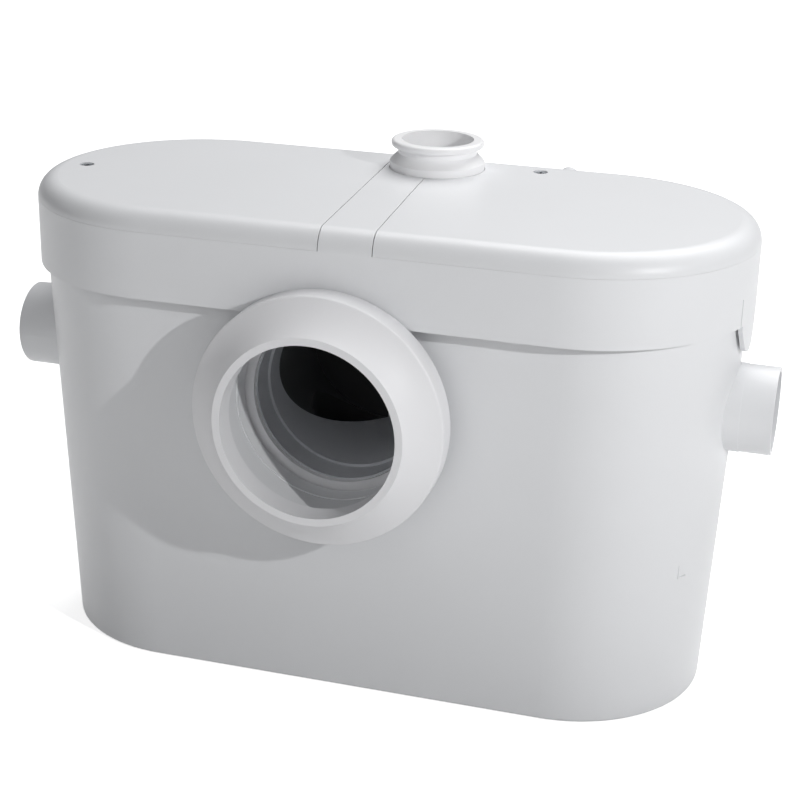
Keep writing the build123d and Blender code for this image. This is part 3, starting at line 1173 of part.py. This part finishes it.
with BuildPart() as microswitch:
    block(switch_x, 0, SWITCH_BOTTOM, SWITCH_BOTTOM + SWITCH_HEIGHT, SWITCH_LENGTH, SWITCH_WIDTH)
    for sign in (-1, 1):
        block(
            lever_x,
            sign * lug_middle,
            lever_bottom,
            SWITCH_BOTTOM,
            2 * LEVER_KNUCKLE_RADIUS,
            SWITCH_LUG,
        )
    tube(lever_axis, -lug_outer, lug_outer, LEVER_PIN_RADIUS, mode=Mode.SUBTRACT)
    button_axis = Plane(origin=(button_x, 0, 0))
    tube(button_axis, SWITCH_BOTTOM, SWITCH_BOTTOM + SWITCH_HEIGHT / 2, BUTTON_RADIUS + RUNNING_FIT, mode=Mode.SUBTRACT)

lever_half = lug_outer - SWITCH_LUG - FLAP_SIDE_GAP
with BuildPart() as switch_lever_pin:
    tube(lever_axis, -lug_outer, lug_outer, LEVER_PIN_RADIUS - RUNNING_FIT)

with BuildPart() as switch_lever:
    tube(lever_axis, -lever_half, lever_half, LEVER_KNUCKLE_RADIUS)
    lever_length = LEVER_ARM + LEVER_TAIL
    block(
        lever_x + lever_length / 2,
        0,
        lever_bottom,
        lever_bottom + LEVER_THICKNESS,
        lever_length,
        2 * lever_half,
    )
    tube(lever_axis, -lever_half, lever_half, LEVER_PIN_RADIUS, mode=Mode.SUBTRACT)

with BuildPart() as switch_button:
    tube(button_axis, lever_bottom + LEVER_THICKNESS + FIT, SWITCH_BOTTOM + LEVER_THICKNESS, BUTTON_RADIUS)

BRACKET_THICKNESS = 2.0
BRACKET_FOOT = 7.0
BRACKET_LENGTH = 38.0
bracket_y = lug_outer + BRACKET_THICKNESS / 2
with BuildPart() as switch_bracket:
    switch_top = SWITCH_BOTTOM + SWITCH_HEIGHT
    block(BELL_X, bracket_y, box_bottom + BOX_WALL, switch_top, BRACKET_LENGTH, BRACKET_THICKNESS)
    block(
        BELL_X,
        lug_outer + BRACKET_FOOT / 2,
        box_bottom + BOX_WALL,
        box_bottom + BOX_WALL + BRACKET_THICKNESS,
        BRACKET_LENGTH,
        BRACKET_FOOT,
    )
    tube(bell_axis, box_bottom + BOX_WALL, SWITCH_BOTTOM, PLUNGER_RADIUS + PLUNGER_HOLE_GAP, mode=Mode.SUBTRACT)

# Motor lead from the motor housing to the control box, in a gland at each end
LEAD_TAIL = 4.0
housing_outer_x = MOTOR_X + (MOTOR_RADIUS**2 - (LEAD_Y - LEAD_GLAND_RADIUS) ** 2) ** 0.5
housing_inner_x = MOTOR_X + ((MOTOR_RADIUS - MOTOR_WALL) ** 2 - (LEAD_Y + LEAD_GLAND_RADIUS) ** 2) ** 0.5
box_outer_x = BELL_X - box_length / 2
housing_gland = (housing_inner_x, housing_outer_x + LEAD_GLAND_STANDOFF)
box_gland = (box_outer_x - LEAD_GLAND_STANDOFF, box_outer_x + BOX_WALL + LEAD_GLAND_STANDOFF)
with BuildPart() as motor_lead:
    tube(lead_axis, housing_gland[0] - LEAD_TAIL, box_gland[1] + LEAD_TAIL, LEAD_RADIUS)

with BuildPart() as lead_glands:
    for gland_start, gland_end in (housing_gland, box_gland):
        tube(lead_axis, gland_start, gland_end, LEAD_GLAND_RADIUS, LEAD_RADIUS + RUNNING_FIT)

pieces = {
    "tub": tub,
    "rubber_feet": rubber_feet,
    "pan_sleeve": pan_sleeve,
    "inlet_washer": inlet_washer,
    "inlet_chute": inlet_chute,
    "drop_elbow": drop_elbow,
    "lid": lid,
    "left_cover": covers["left"],
    "right_cover": covers["right"],
    "left_cover_screw": cover_screws["left"],
    "right_cover_screw": cover_screws["right"],
    "left_latch": latches["left"],
    "right_latch": latches["right"],
    "lid_gasket": lid_gasket,
    "cable_gland": cable_gland,
    "carbon_filter": carbon_filter,
    "discharge_stub": discharge_stub,
    "discharge_flap": discharge_flap,
    "discharge_flap_pin": discharge_flap_pin,
    "left_inlet_seat": inlet_seats["left"],
    "right_inlet_seat": inlet_seats["right"],
    "left_inlet_flap": inlet_flaps["left"],
    "right_inlet_flap": inlet_flaps["right"],
    "left_flap_pin": inlet_flap_pins["left"],
    "right_flap_pin": inlet_flap_pins["right"],
    "pump_mounts": pump_mounts,
    "pump_volute": pump_volute,
    "suction_plate": suction_plate,
    "impeller": impeller,
    "riser_pipe": riser_pipe,
    "riser_cuffs": riser_cuffs,
    "hose_clips": hose_clips,
    "macerator_basket": macerator_basket,
    "cutter_blade": cutter_blade,
    "blade_nut": blade_nut,
    "motor_flange": motor_flange,
    "shaft_seal": shaft_seal,
    "lower_bearing": lower_bearing,
    "upper_bearing": upper_bearing,
    "motor_housing": motor_housing,
    "motor_screws": motor_screws,
    "stator": stator,
    "windings": windings,
    "rotor_core": rotor_core,
    "shaft": shaft,
    "air_bell": air_bell,
    "membrane": membrane,
    "control_box": control_box,
    "control_box_cover": control_box_cover,
    "control_box_screws": control_box_screws,
    "capacitor": capacitor,
    "terminal_block": terminal_block,
    "switch_plunger": switch_plunger,
    "microswitch": microswitch,
    "switch_lever": switch_lever,
    "switch_lever_pin": switch_lever_pin,
    "switch_button": switch_button,
    "switch_bracket": switch_bracket,
    "motor_lead": motor_lead,
    "lead_glands": lead_glands,
}

os.makedirs("parts", exist_ok=True)
for piece_name, piece in pieces.items():
    piece.part.label = piece_name
    export_step(piece.part, f"parts/{piece_name}.step")
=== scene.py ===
from math import cos, pi, radians, sin

import bpy
from bpy.props import FloatProperty, FloatVectorProperty, PointerProperty
from bpy.types import Operator, Panel, PropertyGroup
from mathutils import Matrix, Vector

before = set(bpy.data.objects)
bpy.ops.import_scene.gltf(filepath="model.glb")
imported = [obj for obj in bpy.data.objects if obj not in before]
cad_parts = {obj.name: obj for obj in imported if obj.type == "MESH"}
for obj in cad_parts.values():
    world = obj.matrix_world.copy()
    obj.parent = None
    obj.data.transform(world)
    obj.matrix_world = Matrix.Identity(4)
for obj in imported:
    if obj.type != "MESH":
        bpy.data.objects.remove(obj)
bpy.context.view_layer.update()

bl_info = {
    "name": "Macerator Toilet Pump",
    "version": (1, 0, 0),
    "blender": (4, 5, 0),
    "location": "3D View > Sidebar > Pump",
    "description": "Finishes, studio and camera for a macerator toilet pump",
    "category": "Object",
}

MM = 0.001
WHITE = (1.0, 1.0, 1.0, 1.0)

# Mouldings: size of the clouds of uneven tone in millimetres, and how far the gloss strays to each side
CLOUD_SIZE = 70.0
GLOSS_SPREAD = 0.04
MOULDED_RELIEF = 0.5

# Worked metal: tone of the lines' dark side, and how much glossier and duller the lines get
LINE_SHADE = 0.86
GLOSSIER = 0.07
DULLER = 0.1
METAL_RELIEF = 0.4

# Bands: radians that the wave texture turns in one unit, share that is dark, and relief in millimetres
WAVE_RADIANS = 20.0
DARK_SHARE = 0.35
BAND_DEPTH = 0.2
BAND_RELIEF = 0.8

# Carbon: size and depth of a grain in millimetres
CARBON_GRAIN = 2.2
CARBON_DEPTH = 0.6
CARBON_RELIEF = 0.9

# Studio lengths in metres
FLOOR_HALF = 6.0
FLOOR_DROP = 0.0005
CLIP_START = 0.05
KEY_RADIUS = 0.012

# Studio lengths in millimetres, and the strength of the floor's own light
FLOOR_SPECK = 40.0
SENSOR_WIDTH = 36.0
FLOOR_LIFT = 0.72


def linear(hex_colour):
    """Linear red, green, blue and alpha of an sRGB hex colour."""
    channels = [int(hex_colour[place:place + 2], 16) / 255 for place in (1, 3, 5)]
    return tuple(c / 12.92 if c <= 0.04045 else ((c + 0.055) / 1.055) ** 2.4 for c in channels) + (1.0,)


def shade(colour, share):
    """The same colour at a share of its brightness."""
    return tuple(channel * share for channel in colour[:3]) + (1.0,)


def per_metre(millimetres):
    """Texture scale that repeats a pattern once in the given length."""
    return 1 / (millimetres * MM)


def add_node(tree, kind, inputs=None, links=None, **settings):
    """Adds a shader node, sets its properties and input values, and links its inputs."""
    node = tree.nodes.new(kind)
    for name, value in settings.items():
        setattr(node, name, value)
    for name, value in (inputs or {}).items():
        node.inputs[name].default_value = value
    for name, source in (links or {}).items():
        tree.links.new(source, node.inputs[name])
    return node


def new_material(name):
    """A material with an empty tree, and its object coordinates in metres."""
    material = bpy.data.materials.new(name)
    material.use_nodes = True
    tree = material.node_tree
    tree.nodes.clear()
    place = add_node(tree, "ShaderNodeTexCoord").outputs["Object"]
    return material, tree, place


def noise(tree, place, size, detail=2.0, roughness=0.5):
    """A cloudy pattern with patches of the given size in millimetres."""
    inputs = {"Scale": per_metre(size), "Detail": detail, "Roughness": roughness}
    return add_node(tree, "ShaderNodeTexNoise", inputs, {"Vector": place}).outputs["Fac"]


def blend(tree, pattern, first, second):
    """One colour where the pattern is 0, passing into another where it is 1."""
    return add_node(
        tree, "ShaderNodeMix", {"A": first, "B": second}, {"Factor": pattern}, data_type="RGBA"
    ).outputs["Result"]


def between(tree, pattern, low, high):
    """A value that follows the pattern from low to high."""
    return add_node(
        tree, "ShaderNodeMapRange", {"To Min": low, "To Max": high}, {"Value": pattern}
    ).outputs["Result"]


def relief(tree, pattern, strength, depth):
    """Bumps of the pattern, with their depth in millimetres."""
    return add_node(
        tree, "ShaderNodeBump", {"Strength": strength, "Distance": depth * MM}, {"Height": pattern}
    ).outputs["Normal"]


def greatest(tree, first, second):
    """The greater of two values."""
    return add_node(tree, "ShaderNodeMath", links={0: first, 1: second}, operation="MAXIMUM").outputs[0]


def finish_material(tree, shader):
    """Links the finished shader to the material's output."""
    add_node(tree, "ShaderNodeOutputMaterial", links={"Surface": shader.outputs[0]})


def principled(tree, inputs, **links):
    """Finishes a material with one principled shader, its linked inputs named in plain words."""
    sockets = {"tone": "Base Color", "gloss": "Roughness", "normal": "Normal"}
    named = {sockets[name]: source for name, source in links.items()}
    finish_material(tree, add_node(tree, "ShaderNodeBsdfPrincipled", inputs, named))


def dress(material, *names):
    """Gives a material to the frame's own nodes."""
    for name in names:
        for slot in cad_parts[name].material_slots:
            slot.material = material


def moulded(name, colour, roughness, ior, grain, depth, mottle=0.03, sheen=0.0):
    """Moulded plastic or rubber: a matt grain from the tool, and a faint unevenness of tone and gloss."""
    material, tree, place = new_material(name)
    cloud = noise(tree, place, CLOUD_SIZE)
    grit = noise(tree, place, grain, roughness=0.6)
    principled(
        tree,
        {"IOR": ior, "Sheen Weight": sheen},
        tone=blend(tree, cloud, colour, shade(colour, 1 - mottle)),
        gloss=between(tree, grit, roughness - GLOSS_SPREAD, roughness + GLOSS_SPREAD),
        normal=relief(tree, grit, MOULDED_RELIEF, depth),
    )
    return material


def metal(name, colour, roughness, stretch, pitch, depth):
    """Worked metal: fine lines along the tool's path, which break up the reflections."""
    material, tree, place = new_material(name)
    path = add_node(tree, "ShaderNodeMapping", {"Scale": stretch}, {"Vector": place}).outputs["Vector"]
    lines = noise(tree, path, pitch, detail=3.0, roughness=0.6)
    principled(
        tree,
        {"Metallic": 1.0},
        tone=blend(tree, lines, shade(colour, LINE_SHADE), colour),
        gloss=between(tree, lines, roughness - GLOSSIER, roughness + DULLER),
        normal=relief(tree, lines, METAL_RELIEF, depth),
    )
    return material


def banded(name, light, dark, pitch, roughness):
    """A stack of plates or a lay of wires: level light ridges with dark lines between them."""
    material, tree, place = new_material(name)
    scale = 2 * pi * per_metre(pitch) / WAVE_RADIANS
    bands = add_node(
        tree,
        "ShaderNodeTexWave",
        {"Scale": scale, "Distortion": 0.4, "Detail": 1.0, "Detail Scale": 0.5},
        {"Vector": place},
        wave_type="BANDS",
        bands_direction="Z",
    ).outputs["Fac"]
    ridge = add_node(tree, "ShaderNodeMapRange", {"From Max": DARK_SHARE}, {"Value": bands}).outputs["Result"]
    principled(
        tree,
        {"Metallic": 1.0, "Roughness": roughness},
        tone=blend(tree, ridge, dark, light),
        normal=relief(tree, bands, BAND_RELIEF, BAND_DEPTH),
    )
    return material


def granular(name, dark, light, roughness):
    """A bed of grains, each with its own tone."""
    material, tree, place = new_material(name)
    grains = add_node(
        tree, "ShaderNodeTexVoronoi", {"Scale": per_metre(CARBON_GRAIN)}, {"Vector": place}
    ).outputs["Distance"]
    principled(
        tree,
        {"Roughness": roughness},
        tone=blend(tree, grains, dark, light),
        normal=relief(tree, grains, CARBON_RELIEF, CARBON_DEPTH),
    )
    return material


class CasingLook(PropertyGroup):
    shell_colour: FloatVectorProperty(
        name="Shell", description="Colour of the moulded tub, lid and covers", subtype="COLOR", size=4,
        min=0.0, max=1.0, default=linear("#E3E4E6"),
    )
    shell_roughness: FloatProperty(
        name="Shell roughness", description="How matt the moulded shell is", subtype="FACTOR",
        min=0.0, max=1.0, default=0.42,
    )
    shell_grain: FloatProperty(
        name="Shell grain", description="Size of the tool's grain in millimetres",
        min=0.1, max=5.0, default=0.9,
    )
    stub_colour: FloatVectorProperty(
        name="Stub", description="Colour of the discharge stub and its pipe", subtype="COLOR", size=4,
        min=0.0, max=1.0, default=linear("#FAFAFB"),
    )
    sleeve_colour: FloatVectorProperty(
        name="Sleeve", description="Colour of the soft pan sleeve", subtype="COLOR", size=4,
        min=0.0, max=1.0, default=linear("#EAEAEC"),
    )
    chute_colour: FloatVectorProperty(
        name="Chute", description="Colour of the inlet chute behind the sleeve", subtype="COLOR", size=4,
        min=0.0, max=1.0, default=linear("#C0C2C6"),
    )


class InsideLook(PropertyGroup):
    grey_colour: FloatVectorProperty(
        name="Grey mouldings", description="Colour of the basket, bell and control box", subtype="COLOR",
        size=4, min=0.0, max=1.0, default=linear("#A9ADB1"),
    )
    pump_colour: FloatVectorProperty(
        name="Pump", description="Colour of the volute, impeller and motor flange", subtype="COLOR", size=4,
        min=0.0, max=1.0, default=linear("#222326"),
    )
    rubber_colour: FloatVectorProperty(
        name="Black rubber", description="Colour of the seals, cuffs, flaps and feet", subtype="COLOR",
        size=4, min=0.0, max=1.0, default=linear("#1B1C1E"),
    )
    plate_pitch: FloatProperty(
        name="Core bands", description="Height of one drawn band of the steel cores in millimetres",
        min=0.5, max=20.0, default=10.053,
    )
    wire_pitch: FloatProperty(
        name="Winding bands", description="Height of one drawn band of the winding in millimetres",
        min=0.5, max=20.0, default=7.54,
    )


class StageLook(PropertyGroup):
    azimuth: FloatProperty(
        name="Azimuth", description="How far to the right of the front the camera stands", subtype="ANGLE",
        default=radians(16.12),
    )
    elevation: FloatProperty(
        name="Elevation", description="How far above the level the camera stands", subtype="ANGLE",
        default=radians(21.32),
    )
    roll: FloatProperty(
        name="Roll", description="Turn of the camera about its line of sight", subtype="ANGLE",
        default=radians(1.256),
    )
    distance: FloatProperty(
        name="Distance", description="From the camera to its target", unit="LENGTH", default=1.0824,
    )
    target: FloatVectorProperty(
        name="Target", description="The point that the camera looks at", subtype="TRANSLATION",
        default=(0.008835, 0.0, 0.15518),
    )
    lens: FloatProperty(
        name="Lens", description="Focal length in millimetres on a 36 mm sensor", default=80.17,
    )
    key_place: FloatVectorProperty(
        name="Key lamp", description="Place of the key lamp", subtype="TRANSLATION",
        default=(0.955, -0.630, 0.690),
    )
    key_power: FloatProperty(
        name="Key power", description="Power of the key lamp", unit="POWER", default=24.0,
    )
    front_place: FloatVectorProperty(
        name="Front panel", description="Place of the soft panel in front", subtype="TRANSLATION",
        default=(-0.2, -2.3, 1.3),
    )
    front_power: FloatProperty(
        name="Front power", description="Power of the soft panel in front", unit="POWER", default=10.5,
    )
    top_place: FloatVectorProperty(
        name="Top panel", description="Place of the soft panel above and behind", subtype="TRANSLATION",
        default=(0.3, 1.3, 2.4),
    )
    top_power: FloatProperty(
        name="Top power", description="Power of the soft panel above and behind", unit="POWER", default=64.0,
    )
    panel_size: FloatProperty(
        name="Panel size", description="Width and height of the soft panels", unit="LENGTH", default=2.2,
    )
    sky: FloatProperty(
        name="Sky", description="Brightness of the dome overhead", default=0.22,
    )
    horizon: FloatProperty(
        name="Horizon", description="Brightness of the dome at the horizon", default=0.02,
    )


class PUMP_OT_casing(Operator):
    """Finish the tub, the lid and what is moulded with them"""

    bl_idname = "pump.casing"
    bl_label = "Casing"

    def execute(self, context):
        look = context.scene.pump_casing
        # Moulded ABS: cool white, satin from a spark-eroded tool, so lights spread wide and soft on it.
        # The grain is about 0.1 mm on the real shell and is drawn coarser, so that it shows.
        shell = moulded(
            "moulded_abs", tuple(look.shell_colour), look.shell_roughness, ior=1.53,
            grain=look.shell_grain, depth=0.012,
        )
        dress(shell, "tub", "lid", "left_cover", "right_cover", "left_latch", "right_latch", "cable_gland")
        # Moulded polypropylene: whiter and waxier than the shell, so it catches a sharper light.
        waxy = moulded(
            "moulded_white_polypropylene", tuple(look.stub_colour), roughness=0.34, ior=1.49, grain=1.4,
            depth=0.01,
        )
        dress(waxy, "discharge_stub", "riser_pipe")
        return {"FINISHED"}


class PUMP_OT_inlet(Operator):
    """Finish the pan sleeve and the chute behind it"""

    bl_idname = "pump.inlet"
    bl_label = "Pan inlet"

    def execute(self, context):
        look = context.scene.pump_casing
        # Moulded EPDM rubber: white and matt, with a faint bloom at grazing angles.
        sleeve = moulded(
            "moulded_white_rubber", tuple(look.sleeve_colour), roughness=0.5, ior=1.48, grain=1.1,
            depth=0.015, mottle=0.02, sheen=0.05,
        )
        dress(sleeve, "pan_sleeve", "inlet_washer")
        # Moulded polypropylene: light grey, with a waxy half gloss.
        chute = moulded(
            "moulded_polypropylene", tuple(look.chute_colour), roughness=0.4, ior=1.49, grain=1.6, depth=0.015
        )
        dress(chute, "inlet_chute")
        return {"FINISHED"}


class PUMP_OT_seals(Operator):
    """Finish the black rubber pieces"""

    bl_idname = "pump.seals"
    bl_label = "Seals and feet"

    def execute(self, context):
        look = context.scene.pump_inside
        # Moulded black rubber: deep grey-black, dull, with a dusty bloom.
        rubber = moulded(
            "moulded_black_rubber", tuple(look.rubber_colour), roughness=0.68, ior=1.52, grain=1.2,
            depth=0.03, mottle=0.2, sheen=0.15,
        )
        dress(
            rubber, "drop_elbow", "rubber_feet", "lid_gasket", "discharge_flap", "left_inlet_flap",
            "right_inlet_flap", "pump_mounts", "riser_cuffs", "shaft_seal", "membrane", "lead_glands",
            "motor_lead",
        )
        return {"FINISHED"}


class PUMP_OT_mouldings(Operator):
    """Finish the plastic pieces inside and the vent's carbon filter"""

    bl_idname = "pump.mouldings"
    bl_label = "Inner mouldings"

    def execute(self, context):
        look = context.scene.pump_inside
        # Moulded polypropylene: light grey and waxy.
        grey = moulded(
            "moulded_grey_polypropylene", tuple(look.grey_colour), roughness=0.42, ior=1.49, grain=1.5,
            depth=0.015,
        )
        dress(
            grey, "left_inlet_seat", "right_inlet_seat", "macerator_basket", "air_bell", "control_box",
            "control_box_cover", "switch_plunger",
        )
        # Glass-filled nylon: black, with fibres at the surface that make it dull and unevenly toned.
        nylon = moulded(
            "moulded_filled_nylon", tuple(look.pump_colour), roughness=0.52, ior=1.53, grain=0.8, depth=0.03,
            mottle=0.3,
        )
        dress(nylon, "pump_volute", "suction_plate", "impeller", "motor_flange", "microswitch")
        # Natural nylon: off-white and slightly glossy.
        natural = moulded(
            "moulded_natural_nylon", linear("#D9D5C8"), roughness=0.3, ior=1.53, grain=1.0, depth=0.01
        )
        dress(natural, "terminal_block", "switch_button", "capacitor")
        # Activated carbon: black grains, each catching the light its own way.
        carbon = granular("activated_carbon", linear("#101113"), linear("#3A3B3E"), roughness=0.6)
        dress(carbon, "carbon_filter")
        return {"FINISHED"}


class PUMP_OT_metalwork(Operator):
    """Finish the screws, pins, clips, bearings, shaft, blade and motor"""

    bl_idname = "pump.metalwork"
    bl_label = "Metal pieces"

    def execute(self, context):
        look = context.scene.pump_inside
        # Zinc-plated steel: bright and slightly blue, with a fine tumbled surface.
        zinc = metal(
            "zinc_plated_steel", linear("#B9BDC2"), roughness=0.32, stretch=(1, 1, 1), pitch=1.2, depth=0.01
        )
        dress(
            zinc, "left_cover_screw", "right_cover_screw", "hose_clips", "blade_nut", "motor_screws",
            "control_box_screws",
        )
        # Ground stainless steel: fine rings round the upright shaft from the grinding wheel.
        ground = metal(
            "ground_stainless_steel", linear("#C4C6C8"), roughness=0.24, stretch=(0.2, 0.2, 3), pitch=1.5,
            depth=0.008,
        )
        dress(
            ground, "shaft", "cutter_blade", "lower_bearing", "upper_bearing", "discharge_flap_pin",
            "left_flap_pin", "right_flap_pin", "switch_lever_pin", "switch_lever", "switch_bracket",
        )
        # Steel core plates, 0.5 mm thick: one drawn band stands for about twenty, so that the stack shows.
        plates = banded(
            "stacked_core_plates", linear("#7C7E82"), linear("#303134"), look.plate_pitch, roughness=0.42
        )
        dress(plates, "stator", "rotor_core")
        # Enamelled copper wire, 0.6 mm thick: one drawn band stands for about twelve turns. It is a warm
        # red-brown with a clear gloss.
        wires = banded(
            "enamelled_copper", linear("#C47A4A"), linear("#4A2413"), look.wire_pitch, roughness=0.3
        )
        dress(wires, "windings")
        # Painted steel can: black, with the orange peel of a sprayed coat.
        paint = moulded(
            "painted_steel", linear("#26272A"), roughness=0.36, ior=1.5, grain=3.0, depth=0.05, mottle=0.15
        )
        dress(paint, "motor_housing")
        return {"FINISHED"}


def add_camera(scene, look):
    """The camera, from its angles about the target."""
    sight = Vector(
        (
            sin(look.azimuth) * cos(look.elevation),
            -cos(look.azimuth) * cos(look.elevation),
            sin(look.elevation),
        )
    )
    level = Vector((cos(look.azimuth), sin(look.azimuth), 0.0))
    upright = sight.cross(level)
    right = level * cos(look.roll) + upright * sin(look.roll)
    up = upright * cos(look.roll) - level * sin(look.roll)
    camera = bpy.data.objects.new("camera", bpy.data.cameras.new("camera"))
    camera.data.lens = look.lens
    camera.data.sensor_width = SENSOR_WIDTH
    camera.data.clip_start = CLIP_START
    turn = Matrix((right, up, sight)).transposed().to_4x4()
    camera.matrix_world = Matrix.Translation(Vector(look.target) + sight * look.distance) @ turn
    scene.collection.objects.link(camera)
    scene.camera = camera


def floor_material():
    """Pale matt floor: seen as white where light falls freely, and darker where the object shades it."""
    material, tree, place = new_material("studio_floor")
    tone = blend(tree, noise(tree, place, FLOOR_SPECK), linear("#DEDEDE"), linear("#DBDBDB"))
    matt = add_node(tree, "ShaderNodeBsdfDiffuse", {"Roughness": 0.5}, {"Color": tone}).outputs[0]
    lift = add_node(tree, "ShaderNodeEmission", {"Color": WHITE, "Strength": FLOOR_LIFT}).outputs[0]
    seen = add_node(tree, "ShaderNodeAddShader", links={0: matt, 1: lift}).outputs[0]
    rays = add_node(tree, "ShaderNodeLightPath").outputs
    straight = greatest(
        tree, greatest(tree, rays["Is Camera Ray"], rays["Is Glossy Ray"]), rays["Is Transmission Ray"]
    )
    finish_material(tree, add_node(tree, "ShaderNodeMixShader", links={0: straight, 1: matt, 2: seen}))
    return material


def add_floor(scene):
    """The floor, just under the object's lowest point."""
    mesh = bpy.data.meshes.new("floor")
    corners = [
        (x * FLOOR_HALF, y * FLOOR_HALF, -FLOOR_DROP) for x, y in ((-1, -1), (1, -1), (1, 1), (-1, 1))
    ]
    mesh.from_pydata(corners, [], [tuple(range(len(corners)))])
    mesh.materials.append(floor_material())
    floor = bpy.data.objects.new("floor", mesh)
    scene.collection.objects.link(floor)


def add_world(scene, look):
    """A pale dome, brighter overhead, that the camera sees as white."""
    world = bpy.data.worlds.new("studio")
    world.use_nodes = True
    tree = world.node_tree
    tree.nodes.clear()
    way = add_node(tree, "ShaderNodeTexCoord").outputs["Generated"]
    height = add_node(tree, "ShaderNodeSeparateXYZ", links={"Vector": way}).outputs["Z"]
    rise = between(tree, height, look.horizon, look.sky)
    dome = add_node(tree, "ShaderNodeBackground", {"Color": linear("#FBFCFF")}, {"Strength": rise}).outputs[0]
    white = add_node(tree, "ShaderNodeBackground", {"Color": WHITE, "Strength": 1.0}).outputs[0]
    seen = add_node(tree, "ShaderNodeLightPath").outputs["Is Camera Ray"]
    sky = add_node(tree, "ShaderNodeMixShader", links={0: seen, 1: dome, 2: white}).outputs[0]
    add_node(tree, "ShaderNodeOutputWorld", links={"Surface": sky})
    scene.world = world


def add_lamp(scene, name, kind, place, power):
    """A lamp at its place."""
    lamp = bpy.data.objects.new(name, bpy.data.lights.new(name, kind))
    lamp.data.energy = power
    lamp.location = place
    scene.collection.objects.link(lamp)
    return lamp


class PUMP_OT_stage(Operator):
    """Build the floor, the lights and the camera"""

    bl_idname = "pump.stage"
    bl_label = "Studio"

    def execute(self, context):
        look = context.scene.pump_stage
        scene = context.scene
        scene.view_settings.view_transform = "Standard"
        add_camera(scene, look)
        add_floor(scene)
        add_world(scene, look)
        # Key lamp: small, so the sleeve's shadow on the tub is crisp
        key = add_lamp(scene, "key", "POINT", look.key_place, look.key_power)
        key.data.shadow_soft_size = KEY_RADIUS
        # Two large soft panels aimed at the object: one in front, one above and behind
        for name, place, power in (
            ("front_panel", look.front_place, look.front_power),
            ("top_panel", look.top_place, look.top_power),
        ):
            panel = add_lamp(scene, name, "AREA", place, power)
            panel.data.shape = "SQUARE"
            panel.data.size = look.panel_size
            panel.rotation_euler = (Vector(place) - Vector(look.target)).to_track_quat("Z", "Y").to_euler()
        return {"FINISHED"}


class PUMP_PT_looks(Panel):
    """Looks of the pump"""

    bl_idname = "PUMP_PT_looks"
    bl_label = "Macerator Pump"
    bl_space_type = "VIEW_3D"
    bl_region_type = "UI"
    bl_category = "Pump"

    def draw(self, context):
        for group, steps in (
            ("pump_casing", ("pump.casing", "pump.inlet")),
            ("pump_inside", ("pump.seals", "pump.mouldings", "pump.metalwork")),
            ("pump_stage", ("pump.stage",)),
        ):
            box = self.layout.box()
            look = getattr(context.scene, group)
            for name in look.__annotations__:
                box.prop(look, name)
            for step in steps:
                box.operator(step)


CLASSES = (
    CasingLook,
    InsideLook,
    StageLook,
    PUMP_OT_casing,
    PUMP_OT_inlet,
    PUMP_OT_seals,
    PUMP_OT_mouldings,
    PUMP_OT_metalwork,
    PUMP_OT_stage,
    PUMP_PT_looks,
)


def register():
    for cls in CLASSES:
        bpy.utils.register_class(cls)
    bpy.types.Scene.pump_casing = PointerProperty(type=CasingLook)
    bpy.types.Scene.pump_inside = PointerProperty(type=InsideLook)
    bpy.types.Scene.pump_stage = PointerProperty(type=StageLook)


def unregister():
    del bpy.types.Scene.pump_stage
    del bpy.types.Scene.pump_inside
    del bpy.types.Scene.pump_casing
    for cls in reversed(CLASSES):
        bpy.utils.unregister_class(cls)


def main():
    register()
    bpy.ops.pump.stage()
    bpy.ops.pump.casing()
    bpy.ops.pump.inlet()
    bpy.ops.pump.seals()
    bpy.ops.pump.mouldings()
    bpy.ops.pump.metalwork()


if __name__ == "__main__":
    main()
